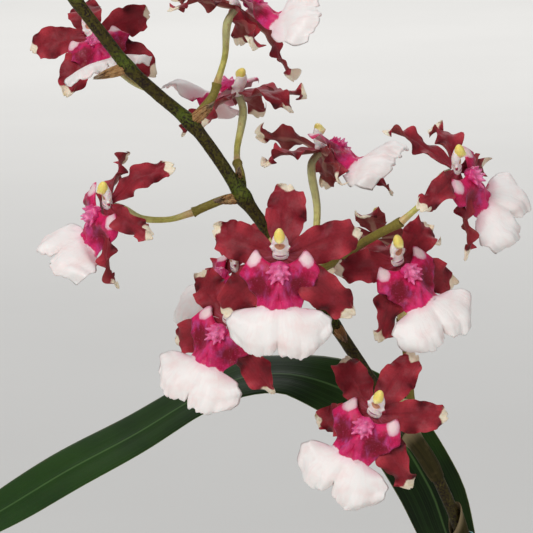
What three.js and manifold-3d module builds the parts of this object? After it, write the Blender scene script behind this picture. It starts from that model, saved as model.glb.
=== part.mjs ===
// Potted oncidium orchid in flower. Millimetres, +Z up, the pot's underside centred on the origin.
import * as THREE from "three";
import { ParametricGeometry } from "three/addons/geometries/ParametricGeometry.js";
import { mergeVertices } from "three/addons/utils/BufferGeometryUtils.js";
import Module from "manifold-3d";

const wasm = await Module();
wasm.setup();
const { Manifold, Mesh } = wasm;

// ---- driving dimensions -------------------------------------------------------------------------
const GAP = 0.3; // clearance kept between neighbouring pieces
const POT = {
  height: 82, baseRadius: 35, rimRadius: 50, wall: 3, floor: 4, rimHeight: 13, lip: 2.5, sides: 24,
};
const DRAIN = { count: 5, radius: 4, ring: 20 };
const MEDIUM = { top: 71, lump: 1.4 };
const SPIKE_RADIUS = 1.35;
const BRANCH_RADIUS = 0.95;
const PEDICEL_RADIUS = 0.75;
const HUB_RADIUS = 1.3;
const TEPAL = { thickness: 0.55, reflex: 28, recurve: 14, wave: 0.9, slack: 0.97 };
const COLUMN = { length: 6.4, angle: 46, radius: 1.35 };
const LIP = { thickness: 0.5, root: 1.9, hinge: [-1.5, 1.9], waist: [-10.8, 3] };

// Each tepal: direction round the face (degrees from the flower's right), length, width.
const TEPALS = [
  { name: "dorsal", angle: 88, length: 18.5, width: 8.6 },
  { name: "petalRight", angle: 17, length: 18.5, width: 8.2 },
  { name: "petalLeft", angle: 163, length: 18.5, width: 8.2 },
  { name: "sepalRight", angle: -42, length: 19.5, width: 8 },
  { name: "sepalLeft", angle: -138, length: 19.5, width: 8 },
];

// Share of a tepal's half width from root to tip, for the broadest tepals and for the slimmest.
const BROAD = [[0, 0.2], [0.08, 0.3], [0.2, 0.55], [0.36, 0.9], [0.52, 1], [0.68, 0.94], [0.82, 0.78],
  [1, 0.45]];
const NARROW = [[0, 0.2], [0.12, 0.28], [0.28, 0.54], [0.42, 0.7], [0.56, 0.68], [0.7, 0.46], [0.85, 0.46],
  [1, 0.45]];

// Each flower: centre, the way it faces (yaw, pitch, roll in degrees), size, how its lip hangs (tilt
// at the root, flare at the waist, twist, in degrees), how slim its tepals are from 0 to 1, and for
// each tepal [turn, lift, stretch, twist].
const FLOWERS = [
  {
    at: [-75, -8, 354], face: [-15, 45, 30], size: 0.88, lip: [0, 35, 5], slim: 0,
    bend: [[0, 0, 1, 0], [0, -5, 1, 45], [-5, 5, 1, -45], [-5, -10, 1, 25], [5, 5, 0.95, -25]],
  },
  {
    at: [-43.5, -31, 363], face: [120, 55, -60], size: 0.95, lip: [-5, 45, -60], slim: 0.8,
    bend: [[0, 0, 1, 25], [0, 0, 1, -20], [-5, -20, 1.05, 30], [-5, -5, 1.15, 35], [15, -15, 1.05, -25]],
  },
  {
    at: [-43.5, 0, 341], face: [-95, 70, -50], size: 0.95, lip: [-15, 30, -40], slim: 0.6,
    bend: [[10, -10, 1.1, -10], [0, 0, 1, 15], [0, -10, 1, 20], [-5, -5, 0.95, -15], [5, -15, 1, 15]],
  },
  {
    at: [-25, -15, 330], face: [115, 50, -65], size: 0.95, lip: [-5, 35, -55], slim: 0.8,
    bend: [[5, 0, 1.05, 25], [0, 0, 1, -15], [5, -35, 0.95, 20], [0, 20, 1.1, 35], [20, -5, 1.1, -25]],
  },
  {
    at: [3, -45, 330], face: [55, 25, 40], size: 0.95, lip: [-15, 35, -5], slim: 0.85,
    bend: [[0, -10, 1.1, 35], [0, -15, 1, -40], [0, 5, 1, 35], [0, 0, 1, 25], [0, 0, 1.1, -50]],
  },
  {
    at: [-71, -35, 321], face: [-50, 15, -35], size: 0.95, lip: [-20, 60, -15], slim: 0.9,
    bend: [[-5, -10, 1.05, 25], [0, 10, 1, 10], [-5, -20, 1.05, -35], [0, 0, 1.05, 45], [0, -30, 1, 20]],
  },
  {
    at: [-34, -50, 312.5], face: [-5, 8, 0], size: 1, lip: [0, 0, 0], slim: 0,
    bend: [[-5, -10, 0.95, 0], [0, 0, 1.05, -8], [0, 0, 0.95, 8], [5, 5, 1.1, 15], [0, 0, 1, -15]],
  },
  {
    at: [-45, -37, 296], face: [-25, 15, -20], size: 0.95, lip: [0, 5, 0], slim: 0.15,
    bend: [[5, -15, 0.75, 0], [0, -10, 0.9, -10], [-10, -5, 0.95, 10], [5, 0, 1.05, 20], [0, -5, 0.95, -15]],
  },
  {
    at: [-44, 0, 301], face: [-60, 20, -25], size: 0.9, lip: [0, 10, 0], slim: 0.4,
    bend: [[0, 0, 1, 10], [0, 0, 1, -15], [0, 0, 1, 15], [0, 0, 1, 20], [0, 0, 1, -15]],
  },
  {
    at: [-9, -38, 309], face: [30, 20, 21], size: 0.95, lip: [0, 10, -5], slim: 0.2,
    bend: [[0, -50, 0.9, 0], [0, 0, 0.9, -15], [0, 5, 0.9, 15], [0, 0, 1, 20], [5, 0, 1, -20]],
  },
  {
    at: [-12, 1, 308], face: [170, 50, 0], size: 0.9, lip: [0, 10, 0], slim: 0.4,
    bend: [[0, 0, 1, 10], [0, 0, 1, -15], [0, 0, 1, 15], [0, 0, 1, 15], [0, 0, 1, -20]],
  },
  {
    at: [-14, -45, 277.5], face: [-15, 10, -25], size: 0.96, lip: [0, 5, 0], slim: 0.25,
    bend: [[-5, -5, 0.95, 0], [5, 0, 0.95, -10], [-10, -10, 0.95, 10], [5, 0, 1.05, 25],
      [-5, -10, 0.9, -15]],
  },
  {
    at: [-71, -18, 381], face: [20, 35, -10], size: 0.92, lip: [0, 10, 0], slim: 0.3,
    bend: [[0, 0, 1, 10], [0, 0, 1, -15], [0, 0, 1, 15], [10, 0, 1, 20], [0, 5, 1, -15]],
  },
  {
    at: [-64, 6, 380], face: [90, 15, 0], size: 0.9, lip: [0, 10, 0], slim: 0.4,
    bend: [[0, 0, 1, -10], [5, -5, 1, 15], [0, 5, 1, -15], [-5, 0, 0.95, 20], [5, 0, 1, -15]],
  },
];

// The spike from the foot of the new growth to its tip, then its side branches.
const SPIKE_PATH = [
  [23, -4, 75], [22, -6, 110], [19.5, -8, 150], [16, -10, 190], [11, -12, 222], [6.6, -14, 243],
  [3, -16, 252.5], [-1.7, -18, 262], [-8.5, -20, 271.5], [-15.3, -22, 282], [-22, -24, 292.5],
  [-29.7, -26, 304], [-38, -28, 316], [-42.1, -28, 321.7], [-48.1, -28, 331], [-53.5, -28, 338],
  [-60.4, -28, 344], [-66.8, -28, 350], [-72.7, -28, 357.5], [-78, -28, 364.5], [-83, -27, 372],
  [-88, -26, 380], [-94, -25, 388], [-101, -24, 394],
];
const BRANCHES = [
  [[-42.1, -28, 321.7], [-45.5, -27, 321.2], [-49.5, -26, 319.6], [-53, -26, 318]],
  [[-42.1, -28, 321.7], [-42.5, -25, 325.5], [-43.4, -20, 328]],
  [[-53.5, -28, 338], [-51, -26, 340.5], [-48.5, -25, 343.5], [-47.7, -24.5, 346]],
  [[-28, -25.5, 301.5], [-25.5, -26, 305], [-21.5, -31, 308.5], [-17, -36, 312.6], [-13.5, -40, 315.4],
    [-8.4, -42.5, 318.6]],
  [[-3, -18.5, 264], [-4.6, -12, 273], [-5.6, -11, 284], [-7, -13, 292]],
];

// Pedicels, in the order of the flowers: from inside the spike or branch up to the flower's back.
const PEDICELS = [
  [[-60.4, -28, 344], [-61, -19, 343.5], [-67, -9, 345]],
  [[-47.7, -24.5, 346], [-46, -26.5, 352]],
  [[-43.4, -20, 328], [-43.5, -12, 330]],
  [[-25.5, -25.5, 305], [-26.2, -18, 309], [-25.8, -14, 317]],
  [[-8.4, -42.5, 318.6], [-3.5, -43, 323.2]],
  [[-53, -26, 318], [-58, -26, 316.5], [-64, -28, 317]],
  [[-36, -27.4, 313], [-34.5, -35, 310.5]],
  [[-33.8, -27, 310], [-38, -26, 300], [-42.5, -29, 295]],
  [[-38, -28, 316], [-35, -15, 309], [-34, -2, 301]],
  [[-7, -13, 292], [-8, -20, 298], [-9, -29, 304]],
  [[-5.6, -11, 284], [-5.5, -4, 292], [-9, -1, 299]],
  [[-6, -19.4, 268], [-4.5, -26, 273.5], [-7, -34, 277.5]],
  [[-78, -28, 364.5], [-77, -22, 368], [-74, -15, 373]],
  [[-88, -26, 380], [-86, -15, 384], [-79, -2, 384]],
];

// Papery bracts on the spike: root, direction, length, width.
const BRACTS = [
  [[-66.8, -28.6, 350], [-0.95, -0.1, -0.3], 8, 3.2],
  [[-53.5, -28.6, 338], [0.7, -0.35, 0.6], 8.5, 3.4],
  [[-42.1, -28.6, 321.7], [-0.95, -0.2, -0.1], 7, 3.2],
  [[-43.4, -26, 324], [0.1, -0.3, 0.95], 5, 2.6],
  [[-22.3, -24.6, 293], [0.55, -0.4, -0.7], 5.5, 3.6],
  [[-78, -28, 364.5], [-0.7, -0.3, 0.6], 8, 3],
  [[-88, -26, 380], [0.5, -0.4, 0.75], 7, 2.8],
];
// Closed sheaths round the spike: where they start and end along it, and their radius.
const SHEATHS = [[0.25, 0.285, 2], [0.455, 0.493, 1.95], [0.515, 0.555, 1.9]];
const TIE = { share: 0.468, radius: 2.35, width: 2.6, thickness: 0.7 };

// Buds beyond the last open flowers: foot, tip, greatest radius.
const BUDS = [
  [[-101.8, -24, 394.4], [-111, -25, 400], 3.1],
  [[-95.5, -24.6, 391.3], [-96, -24, 402], 3.4],
  [[-88.5, -24.6, 383.2], [-84, -19, 395], 3.8],
];

// Leaves: midrib points, half width at the widest, depth of the channel along the midrib, and the
// way the upper face looks along the leaf.
const LEAVES = [
  {
    path: [[21.5, 11.5, 131.5], [20, 15, 175], [13, 17, 213], [5.4, 18, 235], [1, 20, 246], [-12, 26, 263],
      [-29, 30, 269.5], [-42, 31, 269], [-53, 30, 264.5], [-68, 27, 256], [-84, 22, 248.3], [-99.5, 16, 240],
      [-117, 8, 231.5], [-134, 0, 222]],
    half: 7.8, channel: 0.04,
    up: [[-0.65, -0.75, 0.05], [-0.75, -0.65, 0], [-0.8, -0.6, -0.05], [-0.85, -0.5, -0.15],
      [-0.85, -0.5, -0.3], [-0.25, -0.95, 0.1], [-0.05, -0.95, 0.35], [-0.05, -0.35, 0.95],
      [-0.4, -0.35, 0.85], [-0.25, -0.45, 0.85], [-0.2, -0.55, 0.8], [-0.15, -0.55, 0.8],
      [-0.15, -0.6, 0.8]],
  },
  {
    path: [[24.5, 13, 131.5], [33, 17, 175], [50, 20, 215], [75, 20, 238], [102, 16, 236], [124, 10, 214]],
    half: 10.5, channel: 0.3,
    up: [[-0.9, -0.3, 0.2], [-0.4, -0.3, 0.85], [0.3, -0.3, 0.9]],
  },
  {
    path: [[-4, 24, 119.5], [-14, 33, 160], [-33, 44, 192], [-62, 55, 208], [-92, 62, 197], [-112, 66, 168]],
    half: 9.5, channel: 0.3,
    up: [[0.8, -0.4, 0.2], [0.4, -0.3, 0.85], [-0.3, -0.2, 0.9]],
  },
  {
    path: [[-0.5, 25, 119.5], [9, 44, 162], [26, 65, 196], [50, 86, 206], [72, 101, 190]],
    half: 9.5, channel: 0.3,
    up: [[-0.5, -0.75, 0.3], [-0.3, -0.3, 0.9], [0.1, 0.1, 1]],
  },
  {
    path: [[33, -4, 72], [36, -4, 85], [42, -6, 102], [55, -12, 124], [74, -18, 138], [93, -24, 134]],
    half: 7.5, channel: 0.3,
    up: [[-0.9, 0.3, 0.3], [-0.5, 0.2, 0.85], [0.1, -0.1, 1]],
  },
];

// Pseudobulbs: foot, height, half width, half depth, lean to the right in degrees.
const BULBS = [
  { foot: [23, 12, 66], height: 65, wide: 15, deep: 8.5, turn: 15, lean: 0 },
  { foot: [-2, 24, 66], height: 53, wide: 13, deep: 8, turn: 40, lean: 0 },
  { foot: [-22, 6, 66], height: 44, wide: 11.5, deep: 7.5, turn: 75, lean: -6 },
];

const COLOURS = {
  terracotta: 0xb5673f,
  bark: 0x6b4630,
  bulb: 0x7d8c3c,
  leaf: 0x2f4a1d,
  spike: 0x56622a,
  pedicel: 0xb7b26a,
  maroon: 0x7b2230,
  lip: 0xe8b4bd,
  bud: 0x8a3a3c,
  teal: 0x2c8f8a,
};

// ---- small helpers ------------------------------------------------------------------------------
const rad = THREE.MathUtils.degToRad;
const vec = (p) => new THREE.Vector3(...p);
const smooth = (a, b, x) => THREE.MathUtils.smoothstep(x, a, b);
const curveOf = (points) => new THREE.CatmullRomCurve3(points.map(vec));

// Value at t of a list of [t, value] stations.
function stations(list, t) {
  let k = 1;
  while (k < list.length - 1 && t > list[k][0]) k += 1;
  const [t0, a] = list[k - 1];
  const [t1, b] = list[k];
  return THREE.MathUtils.lerp(a, b, THREE.MathUtils.clamp((t - t0) / (t1 - t0), 0, 1));
}

// Turn a closed three.js geometry into a solid that can be joined and cut.
function solid(geometry) {
  const bare = new THREE.BufferGeometry();
  bare.setAttribute("position", geometry.getAttribute("position").clone());
  if (geometry.index) bare.setIndex(geometry.index.clone());
  const merged = mergeVertices(bare, 1e-4);
  const faces = [];
  const index = merged.index.array;
  for (let i = 0; i < index.length; i += 3) {
    const [a, b, c] = [index[i], index[i + 1], index[i + 2]];
    if (a !== b && b !== c && c !== a) faces.push(a, b, c);
  }
  const build = (tris) => new Manifold(new Mesh({
    numProp: 3,
    vertProperties: new Float32Array(merged.getAttribute("position").array),
    triVerts: new Uint32Array(tris),
  }));
  const made = build(faces);
  if (made.volume() > 0) return made;
  for (let i = 0; i < faces.length; i += 3) {
    [faces[i + 1], faces[i + 2]] = [faces[i + 2], faces[i + 1]];
  }
  return build(faces);
}

function geometryOf(body) {
  const mesh = body.getMesh();
  const geometry = new THREE.BufferGeometry();
  geometry.setAttribute("position", new THREE.BufferAttribute(new Float32Array(mesh.vertProperties), 3));
  geometry.setIndex(new THREE.BufferAttribute(new Uint32Array(mesh.triVerts), 1));
  geometry.computeVertexNormals();
  return geometry;
}

const FINENESS = 0.12; // seams closer than this are merged after a join or a cut
const join = (bodies) => Manifold.union(bodies).simplify(FINENESS);
const largest = (body) => body.decompose().sort((a, b) => b.volume() - a.volume())[0];

// Thin closed blade about a surface: the surface gives the point and the normal at (t, v), with t
// from root to tip and v from -1 to 1 across. It is thickest on the midrib and sharp at the edges.
function blade(surface, thickness, across, along) {
  const geometry = new ParametricGeometry((u, t, target) => {
    const upper = u <= 0.5;
    const v = upper ? 4 * u - 1 : 3 - 4 * u;
    const ends = t < 1e-6 || t > 1 - 1e-6;
    const { point, normal } = surface(t, ends ? 0 : v);
    const half = ends ? 0 : thickness * (1 - Math.abs(v)) * (upper ? 1 : -1);
    target.copy(point).addScaledVector(normal, half);
  }, 2 * across, along);
  // The under side splits its quads along the same diagonals as the upper side, so the two stay apart.
  const index = geometry.getIndex().array;
  for (let q = 0; q < 2 * across * along; q += 1) {
    if (q % (2 * across) < across) continue;
    const [a, b, d, , c] = index.slice(6 * q, 6 * q + 6);
    index.set([a, b, c, a, c, d], 6 * q);
  }
  return solid(geometry);
}

// Round bar along a curve.
function bar(curve, radius, steps, sides) {
  const outline = new THREE.Shape();
  for (let i = 0; i < sides; i += 1) {
    const a = (i / sides) * 2 * Math.PI;
    const [x, y] = [radius * Math.cos(a), radius * Math.sin(a)];
    if (i === 0) outline.moveTo(x, y);
    else outline.lineTo(x, y);
  }
  outline.closePath();
  return solid(new THREE.ExtrudeGeometry(outline, { steps, bevelEnabled: false, extrudePath: curve }));
}

// Spindle from one point to another: stations of [share of the length, share of the radius].
function spindle(from, to, radius, profile, sides) {
  const length = from.distanceTo(to);
  const points = profile.map(([s, r]) => new THREE.Vector2(r * radius, s * length));
  const geometry = new THREE.LatheGeometry(points, sides);
  const turn = new THREE.Quaternion().setFromUnitVectors(
    new THREE.Vector3(0, 1, 0),
    to.clone().sub(from).normalize(),
  );
  geometry.applyQuaternion(turn);
  geometry.translate(from.x, from.y, from.z);
  return solid(geometry);
}

// Frame of a flower: right, up and face as the columns of a matrix, then its place.
function flowerFrame({ at, face: [yaw, pitch, roll], size }) {
  const [y, p, k] = [rad(yaw), rad(pitch), rad(roll)];
  const out = new THREE.Vector3(Math.sin(y) * Math.cos(p), -Math.cos(y) * Math.cos(p), Math.sin(p));
  const side = new THREE.Vector3(Math.cos(y), Math.sin(y), 0);
  const top = out.clone().cross(side);
  const right = side.clone().multiplyScalar(Math.cos(k)).addScaledVector(top, Math.sin(k));
  const up = top.clone().multiplyScalar(Math.cos(k)).addScaledVector(side, -Math.sin(k));
  return new THREE.Matrix4().makeBasis(right, up, out).scale(new THREE.Vector3(size, size, size))
    .setPosition(...at);
}

// ---- flower pieces, in the flower's own frame: x right, y up, z the way it faces -----------------
function tepal({ angle, length, width }, [turn, lift, stretch, twist], { phase, slim, grow }) {
  const a = rad(angle + turn);
  const out = new THREE.Vector3(Math.cos(a), Math.sin(a), 0);
  const side = new THREE.Vector3(-Math.sin(a), Math.cos(a), 0);
  const front = new THREE.Vector3(0, 0, 1);
  const elevation = (t) => rad(lift - TEPAL.reflex * smooth(0.1, 1, t) - TEPAL.recurve * smooth(0.72, 1, t));
  const long = TEPAL.slack * length * stretch;
  const share = (t) => THREE.MathUtils.lerp(stations(BROAD, t), stations(NARROW, t), slim);
  const spine = (t) => {
    const steps = 24;
    const sum = new THREE.Vector2(0, 0);
    for (let i = 0; i < steps; i += 1) {
      const e = elevation(((i + 0.5) / steps) * t);
      sum.x += (Math.cos(e) * t * long) / steps;
      sum.y += (Math.sin(e) * t * long) / steps;
    }
    return sum;
  };
  const surface = (t, v) => {
    const e = elevation(t);
    const normal = front.clone().multiplyScalar(Math.cos(e)).addScaledVector(out, -Math.sin(e));
    const s = spine(t);
    const ripple = Math.sin(2 * Math.PI * (2.2 * t + phase) + (v > 0 ? 0 : 2.1)) * smooth(0.15, 0.5, t);
    const cup = 0.06 * width * (1 - 0.6 * t);
    const point = out.clone().multiplyScalar(s.x).addScaledVector(front, s.y);
    const tw = rad(twist) * smooth(0.1, 1, t);
    const across = side.clone().multiplyScalar(Math.cos(tw)).addScaledVector(normal, Math.sin(tw));
    const level = normal.clone().multiplyScalar(Math.cos(tw)).addScaledVector(side, -Math.sin(tw));
    point.addScaledVector(across, (grow + (width / 2) * share(t)) * v);
    point.addScaledVector(level, v * v * (cup + TEPAL.wave * ripple));
    return { point, normal: level };
  };
  return blade(surface, TEPAL.thickness + grow, 2, 6);
}

function column(grow) {
  const a = rad(COLUMN.angle);
  const axis = new THREE.Vector3(0, Math.sin(a), Math.cos(a));
  const profile = [[0, 0], [0, 0.85], [0.55, 0.95], [0.75, 1.05], [0.92, 0.8], [1, 0]];
  const end = axis.multiplyScalar(COLUMN.length + grow);
  return spindle(new THREE.Vector3(), end, COLUMN.radius + grow, profile, 5);
}

const LIP_DROP = [[0, -LIP.root], [0.25, -4.8], [0.45, -8.4], [0.53, -9.9], [0.6, -11.2], [0.8, -14.6],
  [1, -17.8]];
const LIP_RISE = [[0, 1.9], [0.12, 2.7], [0.25, 3.1], [0.45, 2.8], [0.6, 3.2], [0.8, 3.6], [1, 3.4]];
const LIP_HALF = [[0, 1.8], [0.07, 4.8], [0.15, 7.6], [0.25, 7.9], [0.38, 6.4], [0.47, 5.2], [0.53, 6],
  [0.58, 9.2], [0.66, 10.8], [0.74, 11], [0.86, 9.6], [1, 5.5]];

// A point swung forward about the side-to-side line through [up, out].
function swung(point, [up, out], degrees) {
  const [a, y, z] = [rad(degrees), point.y - up, point.z - out];
  return new THREE.Vector3(
    point.x,
    up + y * Math.cos(a) + z * Math.sin(a),
    out + z * Math.cos(a) - y * Math.sin(a),
  );
}

// A point of the lip as the flower holds it: twisted and flared below its waist, tilted at its root.
function hung(point, [tilt, flare, twist]) {
  const a = rad(twist) * smooth(7, 13, -point.y);
  const z = point.z - LIP.waist[1];
  const twisted = new THREE.Vector3(
    point.x * Math.cos(a) + z * Math.sin(a),
    point.y,
    LIP.waist[1] + z * Math.cos(a) - point.x * Math.sin(a),
  );
  const flared = swung(twisted, LIP.waist, flare * smooth(8.5, 12.5, -point.y));
  return swung(flared, LIP.hinge, tilt);
}

function lip(hang) {
  const facing = new THREE.Vector3(0, 0.15, 1).normalize();
  const surface = (t, v) => {
    const spread = smooth(0.5, 0.56, t);
    const across = Math.abs(v);
    const ears = (1 - spread) * across ** 2 * 2.6 * (1 - smooth(0, 0.3, t));
    const lobes = spread * 2.4 * Math.sin(Math.min(across, 1) * Math.PI * 0.72) ** 1.2 * smooth(0.7, 1, t);
    const back = (1 - spread) * across ** 1.6 * 2.4 + spread * across ** 2 * 1.6;
    const flat = new THREE.Vector3(
      stations(LIP_HALF, t) * v,
      stations(LIP_DROP, t) + ears - lobes,
      stations(LIP_RISE, t) - back,
    );
    const point = hung(flat, hang);
    return { point, normal: hung(flat.add(facing), hang).sub(point).normalize() };
  };
  const [from, to] = [[0, -2.4, 2.8], [0, -6, 3.8]].map((p) => hung(vec(p), hang));
  const callus = spindle(from, to, 1.5, [[0, 0], [0.12, 0.8], [0.5, 1], [1, 0]], 4);
  return join([blade(surface, LIP.thickness, 4, 9), callus]);
}

// ---- plant pieces -------------------------------------------------------------------------------
const spikeCurve = curveOf(SPIKE_PATH);

function bract([root, direction, length, width]) {
  const along = vec(direction).normalize();
  const side = along.clone().cross(new THREE.Vector3(0, -1, 0.15)).normalize();
  const normal = side.clone().cross(along);
  const surface = (t, v) => ({
    point: vec(root).addScaledVector(along, t * length)
      .addScaledVector(side, v * (width / 2) * (1 - t) ** 0.7)
      .addScaledVector(normal, -0.8 * v * v * (1 - t)),
    normal,
  });
  return blade(surface, 0.45, 2, 4);
}

// The spike with its branches; grown by a clearance it becomes the cutter for what touches it.
function spikeSolid(grow) {
  const main = bar(spikeCurve, SPIKE_RADIUS + grow, 28, 6);
  const branches = BRANCHES.map((points) => bar(curveOf(points), BRANCH_RADIUS + grow, 4, 4));
  const sheaths = SHEATHS.map(([from, to, radius]) => {
    const points = [0, 0.5, 1].map((s) => spikeCurve.getPointAt(from + (to - from) * s));
    return bar(new THREE.CatmullRomCurve3(points), radius + grow, 2, 6);
  });
  return join([main, ...branches, ...sheaths]);
}

function pedicel(points, flower, cutter) {
  const frame = flowerFrame(flower);
  const centre = new THREE.Vector3().setFromMatrixPosition(frame);
  const face = new THREE.Vector3().setFromMatrixColumn(frame, 2).normalize();
  const back = centre.clone().addScaledVector(face, -HUB_RADIUS - 2.2);
  const curve = new THREE.CatmullRomCurve3([...points.map(vec), back, centre]);
  const hub = solid(new THREE.OctahedronGeometry((HUB_RADIUS + GAP) * 1.6, 0).translate(...centre));
  return largest(bar(curve, PEDICEL_RADIUS, 7, 4).subtract(join([cutter, hub])).simplify(FINENESS));
}

function leaf({ path, half, channel, up }) {
  const curve = curveOf(path);
  const looks = up.map((n, i) => [i / (up.length - 1), vec(n)]);
  const face = (t) => new THREE.Vector3(
    stations(looks.map(([s, n]) => [s, n.x]), t),
    stations(looks.map(([s, n]) => [s, n.y]), t),
    stations(looks.map(([s, n]) => [s, n.z]), t),
  );
  const surface = (t, v) => {
    const along = curve.getTangentAt(t);
    const side = along.clone().cross(face(t)).normalize();
    const normal = side.clone().cross(along).normalize();
    const wide = half * (0.24 + 0.76 * smooth(0, 0.4, t)) * (1 - smooth(0.72, 1.06, t) ** 1.4);
    const point = curve.getPointAt(t).addScaledVector(side, wide * v);
    return { point: point.addScaledVector(normal, channel * wide * Math.abs(v)), normal };
  };
  return blade(surface, 0.7, 2, 16);
}

function bulb({ foot, height, wide, deep, turn, lean }, grow) {
  const profile = [[0, 0], [0, 0.55], [0.12, 0.85], [0.35, 1], [0.62, 0.82], [0.85, 0.5], [1, 0.24], [1, 0]];
  const points = profile.map(([s, r]) => new THREE.Vector2(r, s * height));
  const geometry = new THREE.LatheGeometry(points, 12);
  geometry.scale(wide + grow, 1, deep + grow);
  geometry.rotateX(Math.PI / 2);
  geometry.rotateZ(rad(turn));
  geometry.rotateY(rad(lean));
  geometry.translate(...foot);
  if (grow) geometry.translate(0, 0, -grow);
  return solid(geometry);
}

const innerRadius = (z) => THREE.MathUtils.mapLinear(
  z, 0, POT.height, POT.baseRadius - POT.wall, POT.rimRadius - POT.lip - POT.wall,
);

function pot() {
  const { height, baseRadius, rimRadius, floor, rimHeight, lip: overhang, wall } = POT;
  const shoulder = height - rimHeight;
  const outer = (z) => innerRadius(z) + wall;
  const outline = [
    [0, 0], [baseRadius - 1, 0], [baseRadius, 1.2], [outer(shoulder), shoulder],
    [outer(shoulder) + overhang, shoulder + 1], [rimRadius - 0.8, height - 1.2], [rimRadius - 2, height],
    [innerRadius(height) + 0.8, height], [innerRadius(height - 1), height - 1], [innerRadius(floor), floor],
    [0, floor],
  ];
  const body = solid(new THREE.LatheGeometry(outline.map(([x, y]) => new THREE.Vector2(x, y)), POT.sides)
    .rotateX(Math.PI / 2));
  const holes = Array.from({ length: DRAIN.count }, (_, i) => {
    const a = (i / DRAIN.count) * 2 * Math.PI;
    return solid(new THREE.CylinderGeometry(DRAIN.radius, DRAIN.radius, 4 * floor, 8)
      .rotateX(Math.PI / 2)
      .translate(DRAIN.ring * Math.cos(a), DRAIN.ring * Math.sin(a), floor / 2));
  });
  return body.subtract(join(holes));
}

function medium(bulbs) {
  const low = POT.floor + GAP;
  const rim = innerRadius(MEDIUM.top) - GAP;
  const outline = [[0, low], [innerRadius(low) - GAP, low], [rim - GAP, MEDIUM.top - 2],
    [rim * 0.8, MEDIUM.top], [rim * 0.45, MEDIUM.top], [0, MEDIUM.top]];
  const geometry = new THREE.LatheGeometry(outline.map(([x, y]) => new THREE.Vector2(x, y)), POT.sides)
    .rotateX(Math.PI / 2);
  const spots = geometry.getAttribute("position");
  for (let i = 0; i < spots.count; i += 1) {
    const [x, y, z] = [spots.getX(i), spots.getY(i), spots.getZ(i)];
    if (z > MEDIUM.top - 0.5) spots.setZ(i, z + MEDIUM.lump * Math.sin(0.31 * x + 1) * Math.cos(0.27 * y));
  }
  return solid(geometry).subtract(join(bulbs));
}

function bud([foot, tip, radius]) {
  const profile = [[0, 0], [0.02, 0.22], [0.3, 0.26], [0.48, 0.75], [0.68, 1], [0.86, 0.72], [1, 0]];
  return spindle(vec(foot), vec(tip), radius, profile, 8);
}

// A flat tie closed round the spike.
function tie({ share, radius, width, thickness }) {
  const step = width / 2 / spikeCurve.getLength();
  const [a, b] = [share - step, share + step].map((s) => spikeCurve.getPointAt(s));
  const along = b.clone().sub(a);
  const rod = [[0, 0], [0, 1], [1, 1], [1, 0]];
  const hole = spindle(a.clone().sub(along), b.clone().add(along), radius, rod, 10);
  return spindle(a, b, radius + thickness, rod, 10).subtract(hole);
}

// ---- assembly -----------------------------------------------------------------------------------
const group = new THREE.Group();

function add(name, body, colour) {
  const mesh = new THREE.Mesh(geometryOf(body), new THREE.MeshStandardMaterial({ color: COLOURS[colour] }));
  mesh.name = name;
  group.add(mesh);
}

const label = (i) => String(i + 1).padStart(2, "0");
const spikeCutter = spikeSolid(GAP);

add("pot", pot(), "terracotta");
add("potting_medium", medium(BULBS.map((spec) => bulb(spec, GAP))), "bark");
BULBS.forEach((spec, i) => add(`pseudobulb_${i + 1}`, bulb(spec, 0), "bulb"));
LEAVES.forEach((spec, i) => add(`leaf_${i + 1}`, leaf(spec), "leaf"));
add("flower_spike", join([spikeSolid(0), ...BRACTS.map(bract)]), "spike");
BUDS.forEach((spec, i) => add(`bud_${i + 1}`, bud(spec), "bud"));
add("spike_tie", tie(TIE), "teal");

// Hub, column and tepals in one piece; grown by a clearance it trims the lip.
function perianth({ bend, slim }, i, grow) {
  const phase = (k) => (0.37 * i + 0.23 * k) % 1;
  const tepals = TEPALS.map((spec, k) => tepal(spec, bend[k], { phase: phase(k), slim, grow }));
  const hub = solid(new THREE.OctahedronGeometry((HUB_RADIUS + grow) * 1.2, 0));
  return join([hub, column(grow), ...tepals]);
}

FLOWERS.forEach((flower, i) => {
  const frame = flowerFrame(flower).toArray();
  add(`flower_${label(i)}_tepals`, perianth(flower, i, 0).transform(frame), "maroon");
  const trimmed = largest(lip(flower.lip).subtract(perianth(flower, i, 1.6 * GAP)));
  add(`flower_${label(i)}_lip`, trimmed.transform(frame), "lip");
  add(`flower_${label(i)}_pedicel`, pedicel(PEDICELS[i], flower, spikeCutter), "pedicel");
});

export default group;
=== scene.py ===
import math

import bpy
import numpy as np
from bpy.props import FloatProperty, FloatVectorProperty, IntProperty, PointerProperty
from mathutils import Matrix


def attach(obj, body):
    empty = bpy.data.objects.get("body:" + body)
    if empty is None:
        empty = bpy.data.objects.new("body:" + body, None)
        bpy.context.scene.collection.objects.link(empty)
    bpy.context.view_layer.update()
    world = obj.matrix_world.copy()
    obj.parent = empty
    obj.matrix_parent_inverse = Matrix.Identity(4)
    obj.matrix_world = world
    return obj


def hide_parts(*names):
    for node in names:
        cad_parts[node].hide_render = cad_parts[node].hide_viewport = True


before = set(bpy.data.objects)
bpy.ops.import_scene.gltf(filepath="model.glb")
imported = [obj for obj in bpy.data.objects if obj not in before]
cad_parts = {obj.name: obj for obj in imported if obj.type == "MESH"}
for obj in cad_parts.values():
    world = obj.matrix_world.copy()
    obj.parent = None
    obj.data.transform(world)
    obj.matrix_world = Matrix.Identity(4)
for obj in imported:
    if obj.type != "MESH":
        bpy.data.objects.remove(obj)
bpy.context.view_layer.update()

bl_info = {
    "name": "Potted Oncidium Orchid",
    "version": (1, 0, 0),
    "blender": (4, 5, 0),
    "location": "3D View > Sidebar > Orchid",
    "description": "Builds a flowering oncidium orchid in its clay pot, piece by piece",
    "category": "Object",
}

# ---- where things grow, in millimetres -----------------------------------------------------------
MM = 0.001
BODY = "root"

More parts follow.
